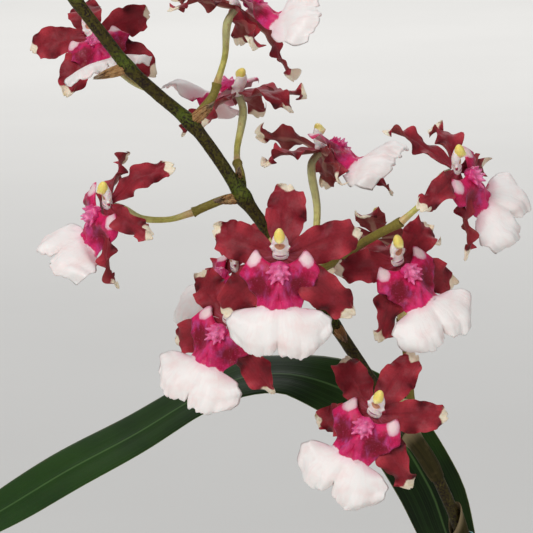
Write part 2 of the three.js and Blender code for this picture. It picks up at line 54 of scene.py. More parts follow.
# Name, direction round the face in degrees, length and width of each tepal.
TEPALS = (
    ("dorsal_sepal", 88, 18.5, 8.6),
    ("right_petal", 17, 18.5, 8.2),
    ("left_petal", 163, 18.5, 8.2),
    ("right_sepal", -42, 19.5, 8),
    ("left_sepal", -138, 19.5, 8),
)

# Each flower: centre, the way it faces (yaw, pitch, roll), size, how its lip hangs (tilt, flare,
# twist) and is split, how slim its tepals are, then turn, lift, stretch and twist of each tepal.
FLOWERS = (
    ((-75, -8, 354), (-15, 45, 30), 0.88, (0, 35, 5, 0.5), -0.6,
     ((0, 0, 1, 0), (0, -5, 1, 45), (-5, 5, 1, -45), (-5, -10, 1, 25), (5, 5, 0.95, -25))),
    ((-43.5, -31, 363), (120, 55, -60), 0.95, (-5, 45, -60, 0.9), 0.8,
     ((0, 0, 1, 25), (0, 0, 1, -20), (-5, -20, 1.05, 30), (-5, -5, 1.15, 35),
      (15, -15, 1.05, -25))),
    ((-43.5, 0, 341), (-95, 70, -50), 0.95, (-15, 30, -40, 0.4), 0.6,
     ((10, -10, 1.1, -10), (0, 0, 1, 15), (0, -10, 1, 20), (-5, -5, 0.95, -15), (5, -15, 1, 15))),
    ((-25, -15, 330), (115, 50, -65), 0.95, (-5, 35, -55, 0.3), 0.8,
     ((5, 0, 1.05, 25), (0, 0, 1, -15), (5, -35, 0.95, 20), (0, 20, 1.1, 35), (20, -5, 1.1, -25))),
    ((3, -45, 330), (55, 25, 40), 0.95, (-15, 35, -5, 1), 0.85,
     ((0, -10, 1.1, 35), (0, -15, 1, -40), (0, 5, 1, 35), (0, 0, 1, 25), (0, 0, 1.1, -50))),
    ((-71, -35, 321), (-50, 15, -35), 0.95, (-20, 60, -15, 1), 0.9,
     ((-5, -10, 1.05, 25), (0, 10, 1, 10), (-5, -20, 1.05, -35), (0, 0, 1.05, 45),
      (0, -30, 1, 20))),
    ((-34, -50, 312.5), (-5, 8, 0), 1, (0, 0, 0, 0.1), 0.0,
     ((-5, -10, 0.95, 0), (0, 0, 1.05, -8), (0, 0, 0.95, 8), (5, 5, 1.1, 15), (0, 0, 1, -15))),
    ((-45, -37, 296), (-25, 15, -20), 0.95, (0, 5, 0, 0.1), 0.15,
     ((5, -15, 0.75, 0), (0, -10, 0.9, -10), (-10, -5, 0.95, 10), (5, 0, 1.05, 20),
      (0, -5, 0.95, -15))),
    ((-44, 0, 301), (-60, 20, -25), 0.9, (0, 10, 0, 0.5), 0.4,
     ((0, 0, 1, 10), (0, 0, 1, -15), (0, 0, 1, 15), (0, 0, 1, 20), (0, 0, 1, -15))),
    ((-9, -38, 309), (30, 20, 21), 0.95, (0, 10, -5, 0.5), 0.2,
     ((0, -50, 0.9, 0), (0, 0, 0.9, -15), (0, 5, 0.9, 15), (0, 0, 1, 20), (5, 0, 1, -20))),
    ((-12, 1, 308), (170, 50, 0), 0.9, (0, 10, 0, 0.4), 0.4,
     ((0, 0, 1, 10), (0, 0, 1, -15), (0, 0, 1, 15), (0, 0, 1, 15), (0, 0, 1, -20))),
    ((-14, -45, 277.5), (-15, 10, -25), 0.96, (0, 5, 0, 0.6), 0.25,
     ((-5, -5, 0.95, 0), (5, 0, 0.95, -10), (-10, -10, 0.95, 10), (5, 0, 1.05, 25),
      (-5, -10, 0.9, -15))),
    ((-71, -18, 381), (20, 35, -10), 0.92, (0, 10, 0, 0.6), 0.3,
     ((0, 0, 1, 10), (0, 0, 1, -15), (0, 0, 1, 15), (10, 0, 1, 20), (0, 5, 1, -15))),
    ((-64, 6, 380), (90, 15, 0), 0.9, (0, 10, 0, 0.7), 0.4,
     ((0, 0, 1, -10), (5, -5, 1, 15), (0, 5, 1, -15), (-5, 0, 0.95, 20), (5, 0, 1, -15))),
)

# The flower spike, from the medium up to its tip.
SPIKE_PATH = (
    (23, -4, 75), (22, -6, 110), (19.5, -8, 150), (16, -10, 190), (11, -12, 222), (6.6, -14, 243),
    (3, -16, 252.5), (-1.7, -18, 262), (-8.5, -20, 271.5), (-15.3, -22, 282), (-22, -24, 292.5),
    (-29.7, -26, 304), (-38, -28, 316), (-42.1, -28, 321.7), (-48.1, -28, 331), (-53.5, -28, 338),
    (-60.4, -28, 344), (-66.8, -28, 350), (-72.7, -28, 357.5), (-78, -28, 364.5), (-83, -27, 372),
    (-88, -26, 380), (-94, -25, 388), (-101, -24, 394),
)
# Its side branches, each from inside the stem that bears it.
BRANCHES = (
    ((-42.1, -28, 321.7), (-45.5, -27, 321.2), (-49.5, -26, 319.6), (-53, -26, 318)),
    ((-42.1, -28, 321.7), (-42.5, -25, 325.5), (-43.4, -20, 328)),
    ((-53.5, -28, 338), (-51, -26, 340.5), (-48.5, -25, 343.5), (-47.7, -24.5, 346)),
    ((-28, -25.5, 301.5), (-25.5, -26, 305), (-21.5, -31, 308.5), (-17, -36, 312.6),
     (-13.5, -40, 315.4), (-8.4, -42.5, 318.6)),
    ((-3, -18.5, 264), (-4.6, -12, 273), (-5.6, -11, 284), (-7, -13, 292)),
)
# Pedicels in the order of the flowers, from inside the spike up to the flower's back.
PEDICELS = (
    ((-60.4, -28, 344), (-61, -19, 343.5), (-67, -9, 345)),
    ((-47.7, -24.5, 346), (-46, -26.5, 352)),
    ((-43.4, -20, 328), (-43.5, -12, 330)),
    ((-25.5, -25.5, 305), (-26.2, -18, 309), (-25.8, -14, 317)),
    ((-8.4, -42.5, 318.6), (-3.5, -43, 323.2)),
    ((-53, -26, 318), (-58, -26, 316.5), (-64, -28, 317)),
    ((-36, -27.4, 313), (-34.5, -35, 310.5)),
    ((-33.8, -27, 310), (-38, -26, 300), (-42.5, -29, 295)),
    ((-38, -28, 316), (-35, -15, 309), (-34, -2, 301)),
    ((-7, -13, 292), (-8, -20, 298), (-9, -29, 304)),
    ((-5.6, -11, 284), (-5.5, -4, 292), (-9, -1, 299)),
    ((-6, -19.4, 268), (-4.5, -26, 273.5), (-7, -34, 277.5)),
    ((-78, -28, 364.5), (-77, -22, 368), (-74, -15, 373)),
    ((-88, -26, 380), (-86, -15, 384), (-79, -2, 384)),
)
# Papery bracts: root, direction, length, width.
BRACTS = (
    ((-66.8, -28.6, 350), (-0.95, -0.1, -0.3), 8, 3.2),
    ((-53.5, -28.6, 338), (0.7, -0.35, 0.6), 8.5, 3.4),
    ((-42.1, -28.6, 321.7), (-0.95, -0.2, -0.1), 7, 3.2),
    ((-43.4, -26, 324), (0.1, -0.3, 0.95), 5, 2.6),
    ((-22.3, -24.6, 293), (0.55, -0.4, -0.7), 5.5, 3.6),
    ((-78, -28, 364.5), (-0.7, -0.3, 0.6), 8, 3),
    ((-88, -26, 380), (0.5, -0.4, 0.75), 7, 2.8),
)
# Closed sheaths: start and end as shares of the spike, radius.
SHEATHS = ((0.25, 0.285, 2), (0.455, 0.493, 1.95), (0.515, 0.555, 1.9))
# The tie: its place as a share of the spike, and the radius of its bore.
TIE_SHARE = 0.468
TIE_RADIUS = 2.35
# Buds: foot, tip, radius.
BUDS = (
    ((-101.8, -24, 394.4), (-111, -25, 400), 3.1),
    ((-95.5, -24.6, 391.3), (-96, -24, 402), 3.4),
    ((-88.5, -24.6, 383.2), (-84, -19, 395), 3.8),
)
# Each leaf: midrib, half width, depth of its channel, and the way the upper face looks along it.
LEAVES = (
    (((21.5, 11.5, 131.5), (20, 15, 175), (13, 17, 213), (5.4, 18, 235), (1, 20, 246),
      (-12, 26, 263), (-29, 30, 269.5), (-42, 31, 269), (-53, 30, 264.5), (-68, 27, 256),
      (-84, 22, 248.3), (-99.5, 16, 240), (-117, 8, 231.5), (-134, 0, 222)), 7.8, 0.04,
     ((-0.65, -0.75, 0.05), (-0.75, -0.65, 0), (-0.8, -0.6, -0.05), (-0.85, -0.5, -0.15),
      (-0.85, -0.5, -0.3), (-0.25, -0.95, 0.1), (-0.05, -0.95, 0.35), (-0.05, -0.35, 0.95),
      (-0.4, -0.35, 0.85), (-0.25, -0.45, 0.85), (-0.2, -0.55, 0.8), (-0.15, -0.55, 0.8),
      (-0.15, -0.6, 0.8))),
    (((24.5, 13, 131.5), (33, 17, 175), (50, 20, 215), (75, 20, 238), (102, 16, 236),
      (124, 10, 214)), 10.5, 0.3, ((-0.9, -0.3, 0.2), (-0.4, -0.3, 0.85), (0.3, -0.3, 0.9))),
    (((-4, 24, 119.5), (-14, 33, 160), (-33, 44, 192), (-62, 55, 208), (-92, 62, 197),
      (-112, 66, 168)), 9.5, 0.3, ((0.8, -0.4, 0.2), (0.4, -0.3, 0.85), (-0.3, -0.2, 0.9))),
    (((-0.5, 25, 119.5), (9, 44, 162), (26, 65, 196), (50, 86, 206), (72, 101, 190)), 9.5, 0.3,
     ((-0.5, -0.75, 0.3), (-0.3, -0.3, 0.9), (0.1, 0.1, 1))),
    (((33, -4, 72), (36, -4, 85), (42, -6, 102), (55, -12, 124), (74, -18, 138),
      (93, -24, 134)), 7.5, 0.3, ((-0.9, 0.3, 0.3), (-0.5, 0.2, 0.85), (0.1, -0.1, 1))),
)
# Each pseudobulb: foot, height, half width, half depth, turn and lean in degrees.
BULBS = (
    ((23, 12, 66), 65, 15, 8.5, 15, 0),
    ((-2, 24, 66), 53, 13, 8, 40, 0),
    ((-22, 6, 66), 44, 11.5, 7.5, 75, -6),
)
# Roots that lie on the medium.
ROOTS = (
    ((12, 2, 72), (4, -8, 75), (-8, -14, 72), (-20, -24, 72), (-30, -26, 69)),
    ((20, 2, 71), (24, -10, 74.5), (20, -22, 72.5), (8, -32, 72), (4, -39, 69)),
    ((-12, 16, 71), (-22, 22, 74), (-32, 18, 72), (-39, 8, 71), (-41, -2, 68)),
    ((30, 18, 71), (36, 14, 74), (40, 2, 71), (38, -12, 68)),
    ((-28, 2, 71), (-33, -6, 74), (-30, -16, 72), (-22, -30, 69)),
    ((6, 32, 71), (14, 37, 73.5), (24, 34, 71), (32, 27, 68)),
)
# The pot: its drain holes, the radius of the circle they stand on and of each hole, the height of
# its floor, and how far its rim steps out. Then the height of the medium.
DRAIN_HOLES = 5
DRAIN_CIRCLE = 20
DRAIN_RADIUS = 4
POT_FLOOR = 4
RIM_STEP = 2.5
MEDIUM_TOP = 71
# Area that the number of bark chips is spread over, in square metres.
BED_AREA = 0.0055

# A lip's root and waist in its flower's frame, each as (up, out), and the waist's length.
LIP_ROOT = (-1.5, 1.9)
LIP_WAIST = (-10.8, 3.0)
WAIST_LENGTH = 9.3
# Teeth of the callus in the flower's frame: foot, tip, radius.
CALLUS_TEETH = (
    ((0, -2.0, 2.4), (0, -2.5, 4.3), 1.35), ((0, -3.2, 2.5), (0, -3.6, 5.0), 1.3),
    ((-1.0, -2.0, 2.4), (-1.5, -2.6, 4.0), 1.0), ((1.0, -2.1, 2.4), (1.4, -2.7, 4.1), 1.0),
    ((0, -4.3, 2.6), (0.1, -4.7, 4.8), 1.05),
    ((-0.8, -2.9, 2.9), (-2.9, -3.5, 4.3), 0.72), ((0.8, -3.0, 2.9), (2.6, -3.8, 4.3), 0.72),
    ((-0.6, -2.0, 2.9), (-2.2, -2.3, 4.2), 0.58), ((0.6, -2.0, 2.9), (2.2, -2.3, 4.2), 0.58),
    ((-0.5, -4.2, 3.0), (-1.7, -5.9, 4.7), 0.62), ((0.4, -4.2, 3.0), (0.9, -6.0, 4.7), 0.62),
    ((-0.9, -3.9, 2.9), (-2.4, -4.9, 4.2), 0.5), ((0.8, -3.9, 2.9), (2.2, -5.0, 4.2), 0.5),
    ((-0.4, -3.6, 3.6), (-1.0, -4.1, 5.5), 0.55), ((0.5, -3.5, 3.6), (1.0, -3.9, 5.4), 0.55),
    ((0, -2.4, 3.4), (0.1, -2.0, 5.2), 0.6), ((0, -1.2, 2.0), (0, -6.0, 2.9), 1.2),
)

# How many points each kind of stalk is drawn through.
SPIKE_POINTS = 420
BRANCH_POINTS = 60
PEDICEL_POINTS = 80
ROOT_POINTS = 60

# What the camera and the lights are turned to, in metres.
VIEW_CENTRE = (-0.037, -0.020, 0.305)


# ---- numbers and curves --------------------------------------------------------------------------
def smooth(low, high, x):
    s = np.clip((x - low) / (high - low), 0, 1)
    return s * s * (3 - 2 * s)


def bump_at(x, centre, width):
    return np.exp(-(((x - centre) / width) ** 2))


def wave(turns):
    return np.sin(2 * math.pi * turns)


def turn_of(count):
    """Evenly spaced angles that make one full turn."""
    return np.linspace(0, 2 * math.pi, count + 1)[:-1]


def sheet(rows, cols):
    """Places on a blade: 0 to 1 along it, down a column, and -1 to 1 across it, in a row."""
    return np.linspace(0, 1, rows)[:, None], np.linspace(-1, 1, cols)[None, :]


def unit(v):
    v = np.asarray(v, float)
    return v / np.linalg.norm(v, axis=-1, keepdims=True)


def through(x, stations):
    """A smooth curve through (position, value) stations, read at x."""
    xs, ys = np.array(stations, float).T
    slope = np.gradient(ys, xs)
    k = np.clip(np.searchsorted(xs, x) - 1, 0, len(xs) - 2)
    step = xs[k + 1] - xs[k]
    s = np.clip((x - xs[k]) / step, 0, 1)
    return (
        (2 * s**3 - 3 * s**2 + 1) * ys[k] + (s**3 - 2 * s**2 + s) * step * slope[k]
        + (3 * s**2 - 2 * s**3) * ys[k + 1] + (s**3 - s**2) * step * slope[k + 1]
    )


def spaced(line, count):
    """The same line with evenly spaced points."""
    run = np.concatenate([[0], np.cumsum(np.linalg.norm(np.diff(line, axis=0), axis=1))])
    at = np.linspace(0, run[-1], count)
    return np.stack([np.interp(at, run, line[:, k]) for k in range(3)], 1)


def smooth_path(points, count):
    """Evenly spaced points of a centripetal curve through the given ones."""
    p = np.array(points, float)
    p = np.vstack([2 * p[0] - p[1], p, 2 * p[-1] - p[-2]])
    fine = []
    for a, b, c, d in zip(p, p[1:], p[2:], p[3:]):
        k0, k1, k2 = (max(float(np.sum((v - u) ** 2)) ** 0.25, 1e-4)
                      for u, v in ((a, b), (b, c), (c, d)))
        leave = k1 * ((b - a) / k0 - (c - a) / (k0 + k1) + (c - b) / k1)
        arrive = k1 * ((c - b) / k1 - (d - b) / (k1 + k2) + (d - c) / k2)
        s = np.linspace(0, 1, 30)[:-1, None]
        fine.append(b + leave * s + (3 * (c - b) - 2 * leave - arrive) * s**2
                    + (2 * (b - c) + leave + arrive) * s**3)
    fine.append(p[-2:-1])
    return spaced(np.vstack(fine), count)


def tangents(line):
    return unit(np.gradient(line, axis=0))


def flower_axes(flower):
    """Right, up and face directions of a flower."""
    yaw, pitch, roll = np.radians(FLOWERS[flower][1])
    out = np.array([math.sin(yaw) * math.cos(pitch), -math.cos(yaw) * math.cos(pitch),
                    math.sin(pitch)])
    side = np.array([math.cos(yaw), math.sin(yaw), 0.0])
    top = np.cross(out, side)
    right = side * math.cos(roll) + top * math.sin(roll)
    up = top * math.cos(roll) - side * math.sin(roll)
    return right, up, out


def flower_matrix(flower):
    """From a flower's own millimetres to the plant's metres."""
    centre, _, size = FLOWERS[flower][:3]
    right, up, out = (v * size * MM for v in flower_axes(flower))
    rows = np.stack([right, up, out, np.array(centre) * MM], 1)
    return Matrix([*map(tuple, rows), (0, 0, 0, 1)])


def each_flower():
    return ((i, f"flower_{i + 1:02d}") for i in range(len(FLOWERS)))


TO_METRES = Matrix.Scale(MM, 4)


# ---- meshes --------------------------------------------------------------------------------------
def write_field(mesh, name, values):
    """A number for each point of a mesh, for its material or a geometry tree to read."""
    layer = mesh.attributes.new(name, "FLOAT", "POINT")
    layer.data.foreach_set("value", np.asarray(values, np.float32).ravel())


def points_of(mesh):
    co = np.zeros(len(mesh.vertices) * 3)
    mesh.vertices.foreach_get("co", co)
    return co.reshape(-1, 3)


def make_mesh(name, points, quads, quad_uv, tris=(), tri_uv=(), fields=None):
    """A smooth mesh from arrays, turned so that its faces point outwards."""
    quads = np.asarray(quads, int).reshape(-1, 4)
    tris = np.asarray(tris, int).reshape(-1, 3)
    quad_uv = np.asarray(quad_uv, float).reshape(-1, 4, 2)
    tri_uv = np.asarray(tri_uv, float).reshape(-1, 3, 2)
    halves = np.vstack([quads[:, [0, 1, 2]], quads[:, [0, 2, 3]], tris])
    a, b, c = (points[halves[:, k]] for k in range(3))
    if np.einsum("ij,ij->", a, np.cross(b, c)) < 0:
        quads, quad_uv = quads[:, ::-1], quad_uv[:, ::-1]
        tris, tri_uv = tris[:, ::-1], tri_uv[:, ::-1]
    mesh = bpy.data.meshes.new(name)
    mesh.vertices.add(len(points))
    mesh.vertices.foreach_set("co", np.asarray(points, np.float32).ravel())
    corners = np.concatenate([quads.ravel(), tris.ravel()])
    mesh.loops.add(len(corners))
    mesh.loops.foreach_set("vertex_index", corners.astype(np.int32))
    starts = np.concatenate([np.arange(len(quads)) * 4,
                             len(quads) * 4 + np.arange(len(tris)) * 3])
    mesh.polygons.add(len(starts))
    mesh.polygons.foreach_set("loop_start", starts.astype(np.int32))
    mesh.update(calc_edges=True)
    uv = mesh.uv_layers.new(name="blade")
    both = np.concatenate([quad_uv.reshape(-1, 2), tri_uv.reshape(-1, 2)])
    uv.data.foreach_set("uv", both.astype(np.float32).ravel())
    for field, values in (fields or {}).items():
        write_field(mesh, field, values)
    mesh.polygons.foreach_set("use_smooth", np.ones(len(starts), bool))
    mesh.validate()
    return mesh


def blade(name, grid, rise, drop, fields=None):
    """Closed thin blade about a grid of points. Its upper face stands rise off the grid and its
    lower face drop, and both meet at the edge. Across is u 0 to 1 above and 2 to 3 below."""
    rows, cols = grid.shape[:2]
    normal = unit(np.cross(np.gradient(grid, axis=0), np.gradient(grid, axis=1)))
    inside = np.zeros((rows, cols), bool)
    inside[1:-1, 1:-1] = True
    rise, drop = (np.broadcast_to(x, (rows, cols)) * inside for x in (rise, drop))
    top = grid + normal * rise[..., None]
    low = (grid - normal * drop[..., None])[inside]
    above = np.arange(rows * cols).reshape(rows, cols)
    below = above.copy()
    below[inside] = rows * cols + np.arange(len(low))
    u, v = np.meshgrid(np.linspace(0, 1, cols), np.linspace(0, 1, rows))
    corner = ((0, 0), (1, 0), (1, 1), (0, 1))

    def around(values, order):
        return np.stack([values[i:rows - 1 + i, j:cols - 1 + j].reshape(-1) for i, j in order], 1)

    flip = corner[::-1]
    quads = np.vstack([around(above, corner), around(below, flip)])
    uv = np.concatenate([
        np.stack([around(u, corner), around(v, corner)], -1),
        np.stack([around(u + 2, flip), around(v, flip)], -1),
    ])
    spread = {
        key: np.concatenate([np.broadcast_to(f, (rows, cols)).reshape(-1),
                             np.broadcast_to(f, (rows, cols))[inside]])
        for key, f in (fields or {}).items()
    }
    return make_mesh(name, np.vstack([top.reshape(-1, 3), low]), quads, uv, fields=spread)


def loft(name, rings, fields=None):
    """Closed skin over rings of points, each end drawn to a pole."""
    rows, cols = rings.shape[:2]
    index = np.arange(rows * cols).reshape(rows, cols)
    nxt = np.roll(index, -1, axis=1)
    quads = np.stack([index[:-1], nxt[:-1], nxt[1:], index[1:]], -1).reshape(-1, 4)
    u0 = np.tile(np.arange(cols) / cols, (rows, 1))
    v0 = np.tile(np.linspace(0, 1, rows)[:, None], (1, cols))
    u1 = u0 + 1 / cols
    uv = np.stack([
        np.stack([u0[:-1], v0[:-1]], -1), np.stack([u1[:-1], v0[:-1]], -1),
        np.stack([u1[1:], v0[1:]], -1), np.stack([u0[1:], v0[1:]], -1),
    ], -2).reshape(-1, 4, 2)
    first, last = rows * cols, rows * cols + 1
    tris = np.vstack([
        np.stack([np.full(cols, first), nxt[0], index[0]], 1),
        np.stack([np.full(cols, last), index[-1], nxt[-1]], 1),
    ])
    caps = np.zeros((2 * cols, 3, 2))
    caps[cols:, :, 1] = 1
    points = np.vstack([rings.reshape(-1, 3), rings[0].mean(0), rings[-1].mean(0)])
    spread = {}
    for key, f in (fields or {}).items():
        f = np.broadcast_to(f, (rows, cols))
        spread[key] = np.concatenate([f.reshape(-1), [f[0].mean(), f[-1].mean()]])
    return make_mesh(name, points, quads, uv, tris, caps, spread)


def join_meshes(name, meshes):
    """One mesh of several, still as loose shells."""
    points, faces, start = [], [], 0
    for mesh in meshes:
        points += [tuple(v.co) for v in mesh.vertices]
        faces += [[start + i for i in p.vertices] for p in mesh.polygons]
        start += len(mesh.vertices)
        bpy.data.meshes.remove(mesh)
    made = bpy.data.meshes.new(name)
    made.from_pydata(points, [], faces)
    made.validate()
    return made


def settle(name, mesh, material, nodes):
    """Puts a finished mesh in the scene as a piece of the plant."""
    piece = bpy.data.objects.new(name, mesh)
    bpy.context.scene.collection.objects.link(piece)
    mesh.materials.clear()
    mesh.materials.append(material)
    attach(piece, BODY)
    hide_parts(*nodes)


def evaluated(mesh, modifiers, name):
    """The mesh that a stack of modifiers makes of another. Each is (kind, settings)."""
    holder = bpy.data.objects.new(name + "_maker", mesh)
    bpy.context.scene.collection.objects.link(holder)
    for kind, settings in modifiers:
        modifier = holder.modifiers.new(kind.lower(), kind)
        for key, value in settings.items():
            if key in modifier.bl_rna.properties:
                setattr(modifier, key, value)
            else:
                modifier[key] = value
    bpy.context.view_layer.update()
    graph = bpy.context.evaluated_depsgraph_get()
    made = bpy.data.meshes.new_from_object(holder.evaluated_get(graph), depsgraph=graph)
    bpy.data.objects.remove(holder)
    made.name = name
    return made


# ---- node trees ----------------------------------------------------------------------------------
class Wiring:
    """Adds nodes to a tree and joins them up."""

    def __init__(self, tree):
        self.tree = tree

    def node(self, kind, plugs=(), **settings):
        made = self.tree.nodes.new(kind)
        for key, value in settings.items():
            setattr(made, key, value)
        for key, source in dict(plugs).items():
            self.plug(source, made.inputs[key])
        return made

    def plug(self, source, socket):
        if isinstance(source, bpy.types.NodeSocket):
            self.tree.links.new(source, socket)
        else:
            socket.default_value = source

    def calc(self, operation, a, b=0.0, clamp=False):
        made = self.node("ShaderNodeMath", {0: a, 1: b}, operation=operation, use_clamp=clamp)
        return made.outputs[0]

    def scaled(self, vector, amount):
        made = self.node("ShaderNodeVectorMath", {0: vector, "Scale": amount}, operation="SCALE")
        return made.outputs[0]


class Finish(Wiring):
    """A material built up from noise, fields and colours."""

    def __init__(self, name, **shader):
        self.material = bpy.data.materials.new(name)
        self.material.use_nodes = True
        super().__init__(self.material.node_tree)
        self.shader = self.tree.nodes["Principled BSDF"]
        for key, value in shader.items():
            label = key.replace("_", " ").title().replace("Ior", "IOR")
            self.shader.inputs[label].default_value = value
        self.place = self.node("ShaderNodeTexCoord").outputs["Object"]
        blade_map = self.node("ShaderNodeUVMap", uv_map="blade").outputs[0]
        parts = self.node("ShaderNodeSeparateXYZ", {0: blade_map}).outputs
        self.across, self.along = parts[0], parts[1]

    def field(self, name):
        return self.node("ShaderNodeAttribute", attribute_name=name).outputs["Fac"]

    def noise(self, size, detail=3.0, roughness=0.55, stretch=None):
        """Noise from 0 to 1 whose lumps are about size millimetres."""
        place = self.place
        if stretch:
            place = self.node("ShaderNodeMapping", {0: place, "Scale": stretch}).outputs[0]
        made = self.node("ShaderNodeTexNoise", {
            "Vector": place, "Scale": 1 / MM / size, "Detail": detail, "Roughness": roughness,
        })
        return made.outputs["Fac"]

    def veins(self, count, stretch):
        """Noise from 0 to 1 drawn out into fine lines that run along a blade."""
        made = self.node("ShaderNodeCombineXYZ", {
            0: self.calc("MULTIPLY", self.across, count),
            1: self.calc("MULTIPLY", self.along, stretch),
        })
        texture = self.node("ShaderNodeTexNoise", {
            "Vector": made.outputs[0], "Scale": 1.0, "Detail": 2.0, "Roughness": 0.5,
        })
        return texture.outputs["Fac"]

    def step(self, value, low, high):
        """0 where a value is below low and 1 where it is above high, or the other way round."""
        made = self.node("ShaderNodeMapRange", {0: value, "From Min": low, "From Max": high},
                         interpolation_type="SMOOTHSTEP")
        return made.outputs[0]

    def between(self, value, low, high):
        """A value from 0 to 1 moved to run from low to high."""
        return self.node("ShaderNodeMapRange", {0: value, "To Min": low, "To Max": high}).outputs[0]

    def patches(self, size, low, high, detail=3.0, **more):
        return self.step(self.noise(size, detail, **more), low, high)

    def lines(self, count, stretch, low, high):
        return self.step(self.veins(count, stretch), low, high)

    def ramp(self, name, low, high):
        return self.step(self.field(name), low, high)

    def both(self, a, b):
        return self.calc("MULTIPLY", a, b)

    def jitter(self, size, reach):
        """Noise about nought, which frays the border of a field."""
        return self.calc("MULTIPLY", self.calc("SUBTRACT", self.noise(size, 4), 0.5), reach)

    def under_side(self):
        """1 on the lower face of a blade and 0 on the upper one."""
        return self.calc("GREATER_THAN", self.across, 1.5)

    def mix(self, factor, a, b):
        """One colour over another; each is a colour or a socket."""
        made = self.node("ShaderNodeMix", data_type="RGBA")
        self.plug(factor, made.inputs[0])
        for source, socket in ((a, made.inputs[6]), (b, made.inputs[7])):
            self.plug(source if isinstance(source, bpy.types.NodeSocket) else (*source, 1), socket)
        return made.outputs[2]

    def tint(self, colour, tone, amount, mask):
        """A tone laid over a colour where a mask is 1, as strongly as the amount."""
        return self.mix(self.calc("MULTIPLY", mask, amount), colour, tone)

    def bump(self, height, distance, strength=1.0):
        return self.node("ShaderNodeBump", {
            "Strength": strength, "Distance": distance * MM, "Height": height,
        }).outputs[0]

    def done(self, colour, normal=None, roughness=None):
        self.plug(colour, self.shader.inputs["Base Color"])
        if roughness is not None:
            self.plug(roughness, self.shader.inputs["Roughness"])
        if normal is not None:
            self.plug(normal, self.shader.inputs["Normal"])
        return self.material


def linear(*rgb):
    """A colour given in the usual 0 to 255, as Blender keeps it."""
    return tuple(c / 255 / 12.92 if c <= 10 else ((c / 255 + 0.055) / 1.055) ** 2.4 for c in rgb)


def modifier_tree(name, *inputs):
    """An empty geometry tree with named inputs, each (name, kind, default), after its geometry."""
    tree = bpy.data.node_groups.new(name, "GeometryNodeTree")
    face = tree.interface
    face.new_socket("Geometry", in_out="INPUT", socket_type="NodeSocketGeometry")
    for label, kind, default in inputs:
        socket = face.new_socket(label, in_out="INPUT", socket_type="NodeSocket" + kind)
        if default is not None:
            socket.default_value = default
    face.new_socket("Geometry", in_out="OUTPUT", socket_type="NodeSocketGeometry")
    wiring = Wiring(tree)
    return wiring, wiring.node("NodeGroupInput").outputs, wiring.node("NodeGroupOutput").inputs[0]


def close_tree(wiring, shape, material, output):
    """Every tree ends the same way: real geometry with its material."""
    real = wiring.node("GeometryNodeRealizeInstances", {0: shape}).outputs[0]
    soft = wiring.node("GeometryNodeSetShadeSmooth", {0: real, "Shade Smooth": True}).outputs[0]
    done = wiring.node("GeometryNodeSetMaterial", {0: soft, "Material": material}).outputs[0]
    wiring.plug(done, output)


def run_tree(tree, mesh, name, **inputs):
    """What a geometry tree makes of a mesh, with its inputs set by their identifiers."""
    names = {s.name: s.identifier for s in tree.interface.items_tree if s.in_out == "INPUT"}
    settings = {"node_group": tree}
    settings.update({names[key.replace("_", " ")]: value for key, value in inputs.items()})
    return evaluated(mesh, [("NODES", settings)], name)


def stalk_tree():
    """Stalks along chains of edges: as thick as their girth field, ribbed or round, and lumpy."""
    w, given, output = modifier_tree(
        "grow_stalks", ("Sides", "Int", 16), ("Ribs", "Int", 6), ("Rib Depth", "Float", 0.0),
        ("Lump Height", "Float", 0.0), ("Lump Size", "Float", 0.002),
        ("Material", "Material", None),
    )
    spine = w.node("GeometryNodeMeshToCurve", {0: given["Geometry"]}).outputs[0]
    parameter = w.node("GeometryNodeSplineParameter").outputs
    spine = w.node("GeometryNodeStoreNamedAttribute",
                   {"Geometry": spine, "Name": "along", "Value": parameter["Length"]}).outputs[0]
    girth = w.node("GeometryNodeInputNamedAttribute", {"Name": "girth"}).outputs[0]
    ring = w.node("GeometryNodeCurvePrimitiveCircle",
                  {"Resolution": given["Sides"], "Radius": 1.0}).outputs[0]
    turn = w.calc("MULTIPLY", parameter["Factor"], 2 * math.pi)
    rib = w.calc("COSINE", w.calc("MULTIPLY", turn, given["Ribs"]))
    place = w.node("GeometryNodeInputPosition").outputs[0]
    ring = w.node("GeometryNodeSetPosition", {
        0: ring, "Offset": w.scaled(place, w.calc("MULTIPLY", rib, given["Rib Depth"])),
    }).outputs[0]
    skin = w.node("GeometryNodeCurveToMesh",
                  {"Curve": spine, "Profile Curve": ring, "Scale": girth,
                   "Fill Caps": True}).outputs[0]
    noise = w.node("ShaderNodeTexNoise", {
        "Vector": place, "Scale": w.calc("DIVIDE", 1.0, given["Lump Size"]), "Detail": 2.0,
    }).outputs["Fac"]
    lift = w.calc("MULTIPLY", w.calc("SUBTRACT", noise, 0.5), given["Lump Height"])
    normal = w.node("GeometryNodeInputNormal").outputs[0]
    skin = w.node("GeometryNodeSetPosition", {0: skin, "Offset": w.scaled(normal, lift)}).outputs[0]
    close_tree(w, skin, given["Material"], output)
    return w.tree


def grow_stalks(name, lines, girths, material, **inputs):
    """Stalks along lines of points in millimetres, each with its radius at every point."""
    tree = bpy.data.node_groups.get("grow_stalks") or stalk_tree()
    points = np.vstack(lines) * MM
    edges, start = [], 0
    for line in lines:
        index = np.arange(start, start + len(line))
        edges.append(np.stack([index[:-1], index[1:]], 1))
        start += len(line)
    chain = bpy.data.meshes.new(name + "_chain")
    chain.from_pydata(points.tolist(), np.vstack(edges).tolist(), [])
    write_field(chain, "girth", np.concatenate(girths) * MM)
    return run_tree(tree, chain, name, Material=material, **inputs)


# ---- settings ------------------------------------------------------------------------------------
def length(name, description, mm):
    return FloatProperty(name=name, description=description, default=mm * MM, min=0.0,
                         precision=5, subtype="DISTANCE", unit="LENGTH")


def colour(name, description, *rgb):
    return FloatVectorProperty(name=name, description=description, default=linear(*rgb),
                               min=0.0, max=1.0, size=3, subtype="COLOR")


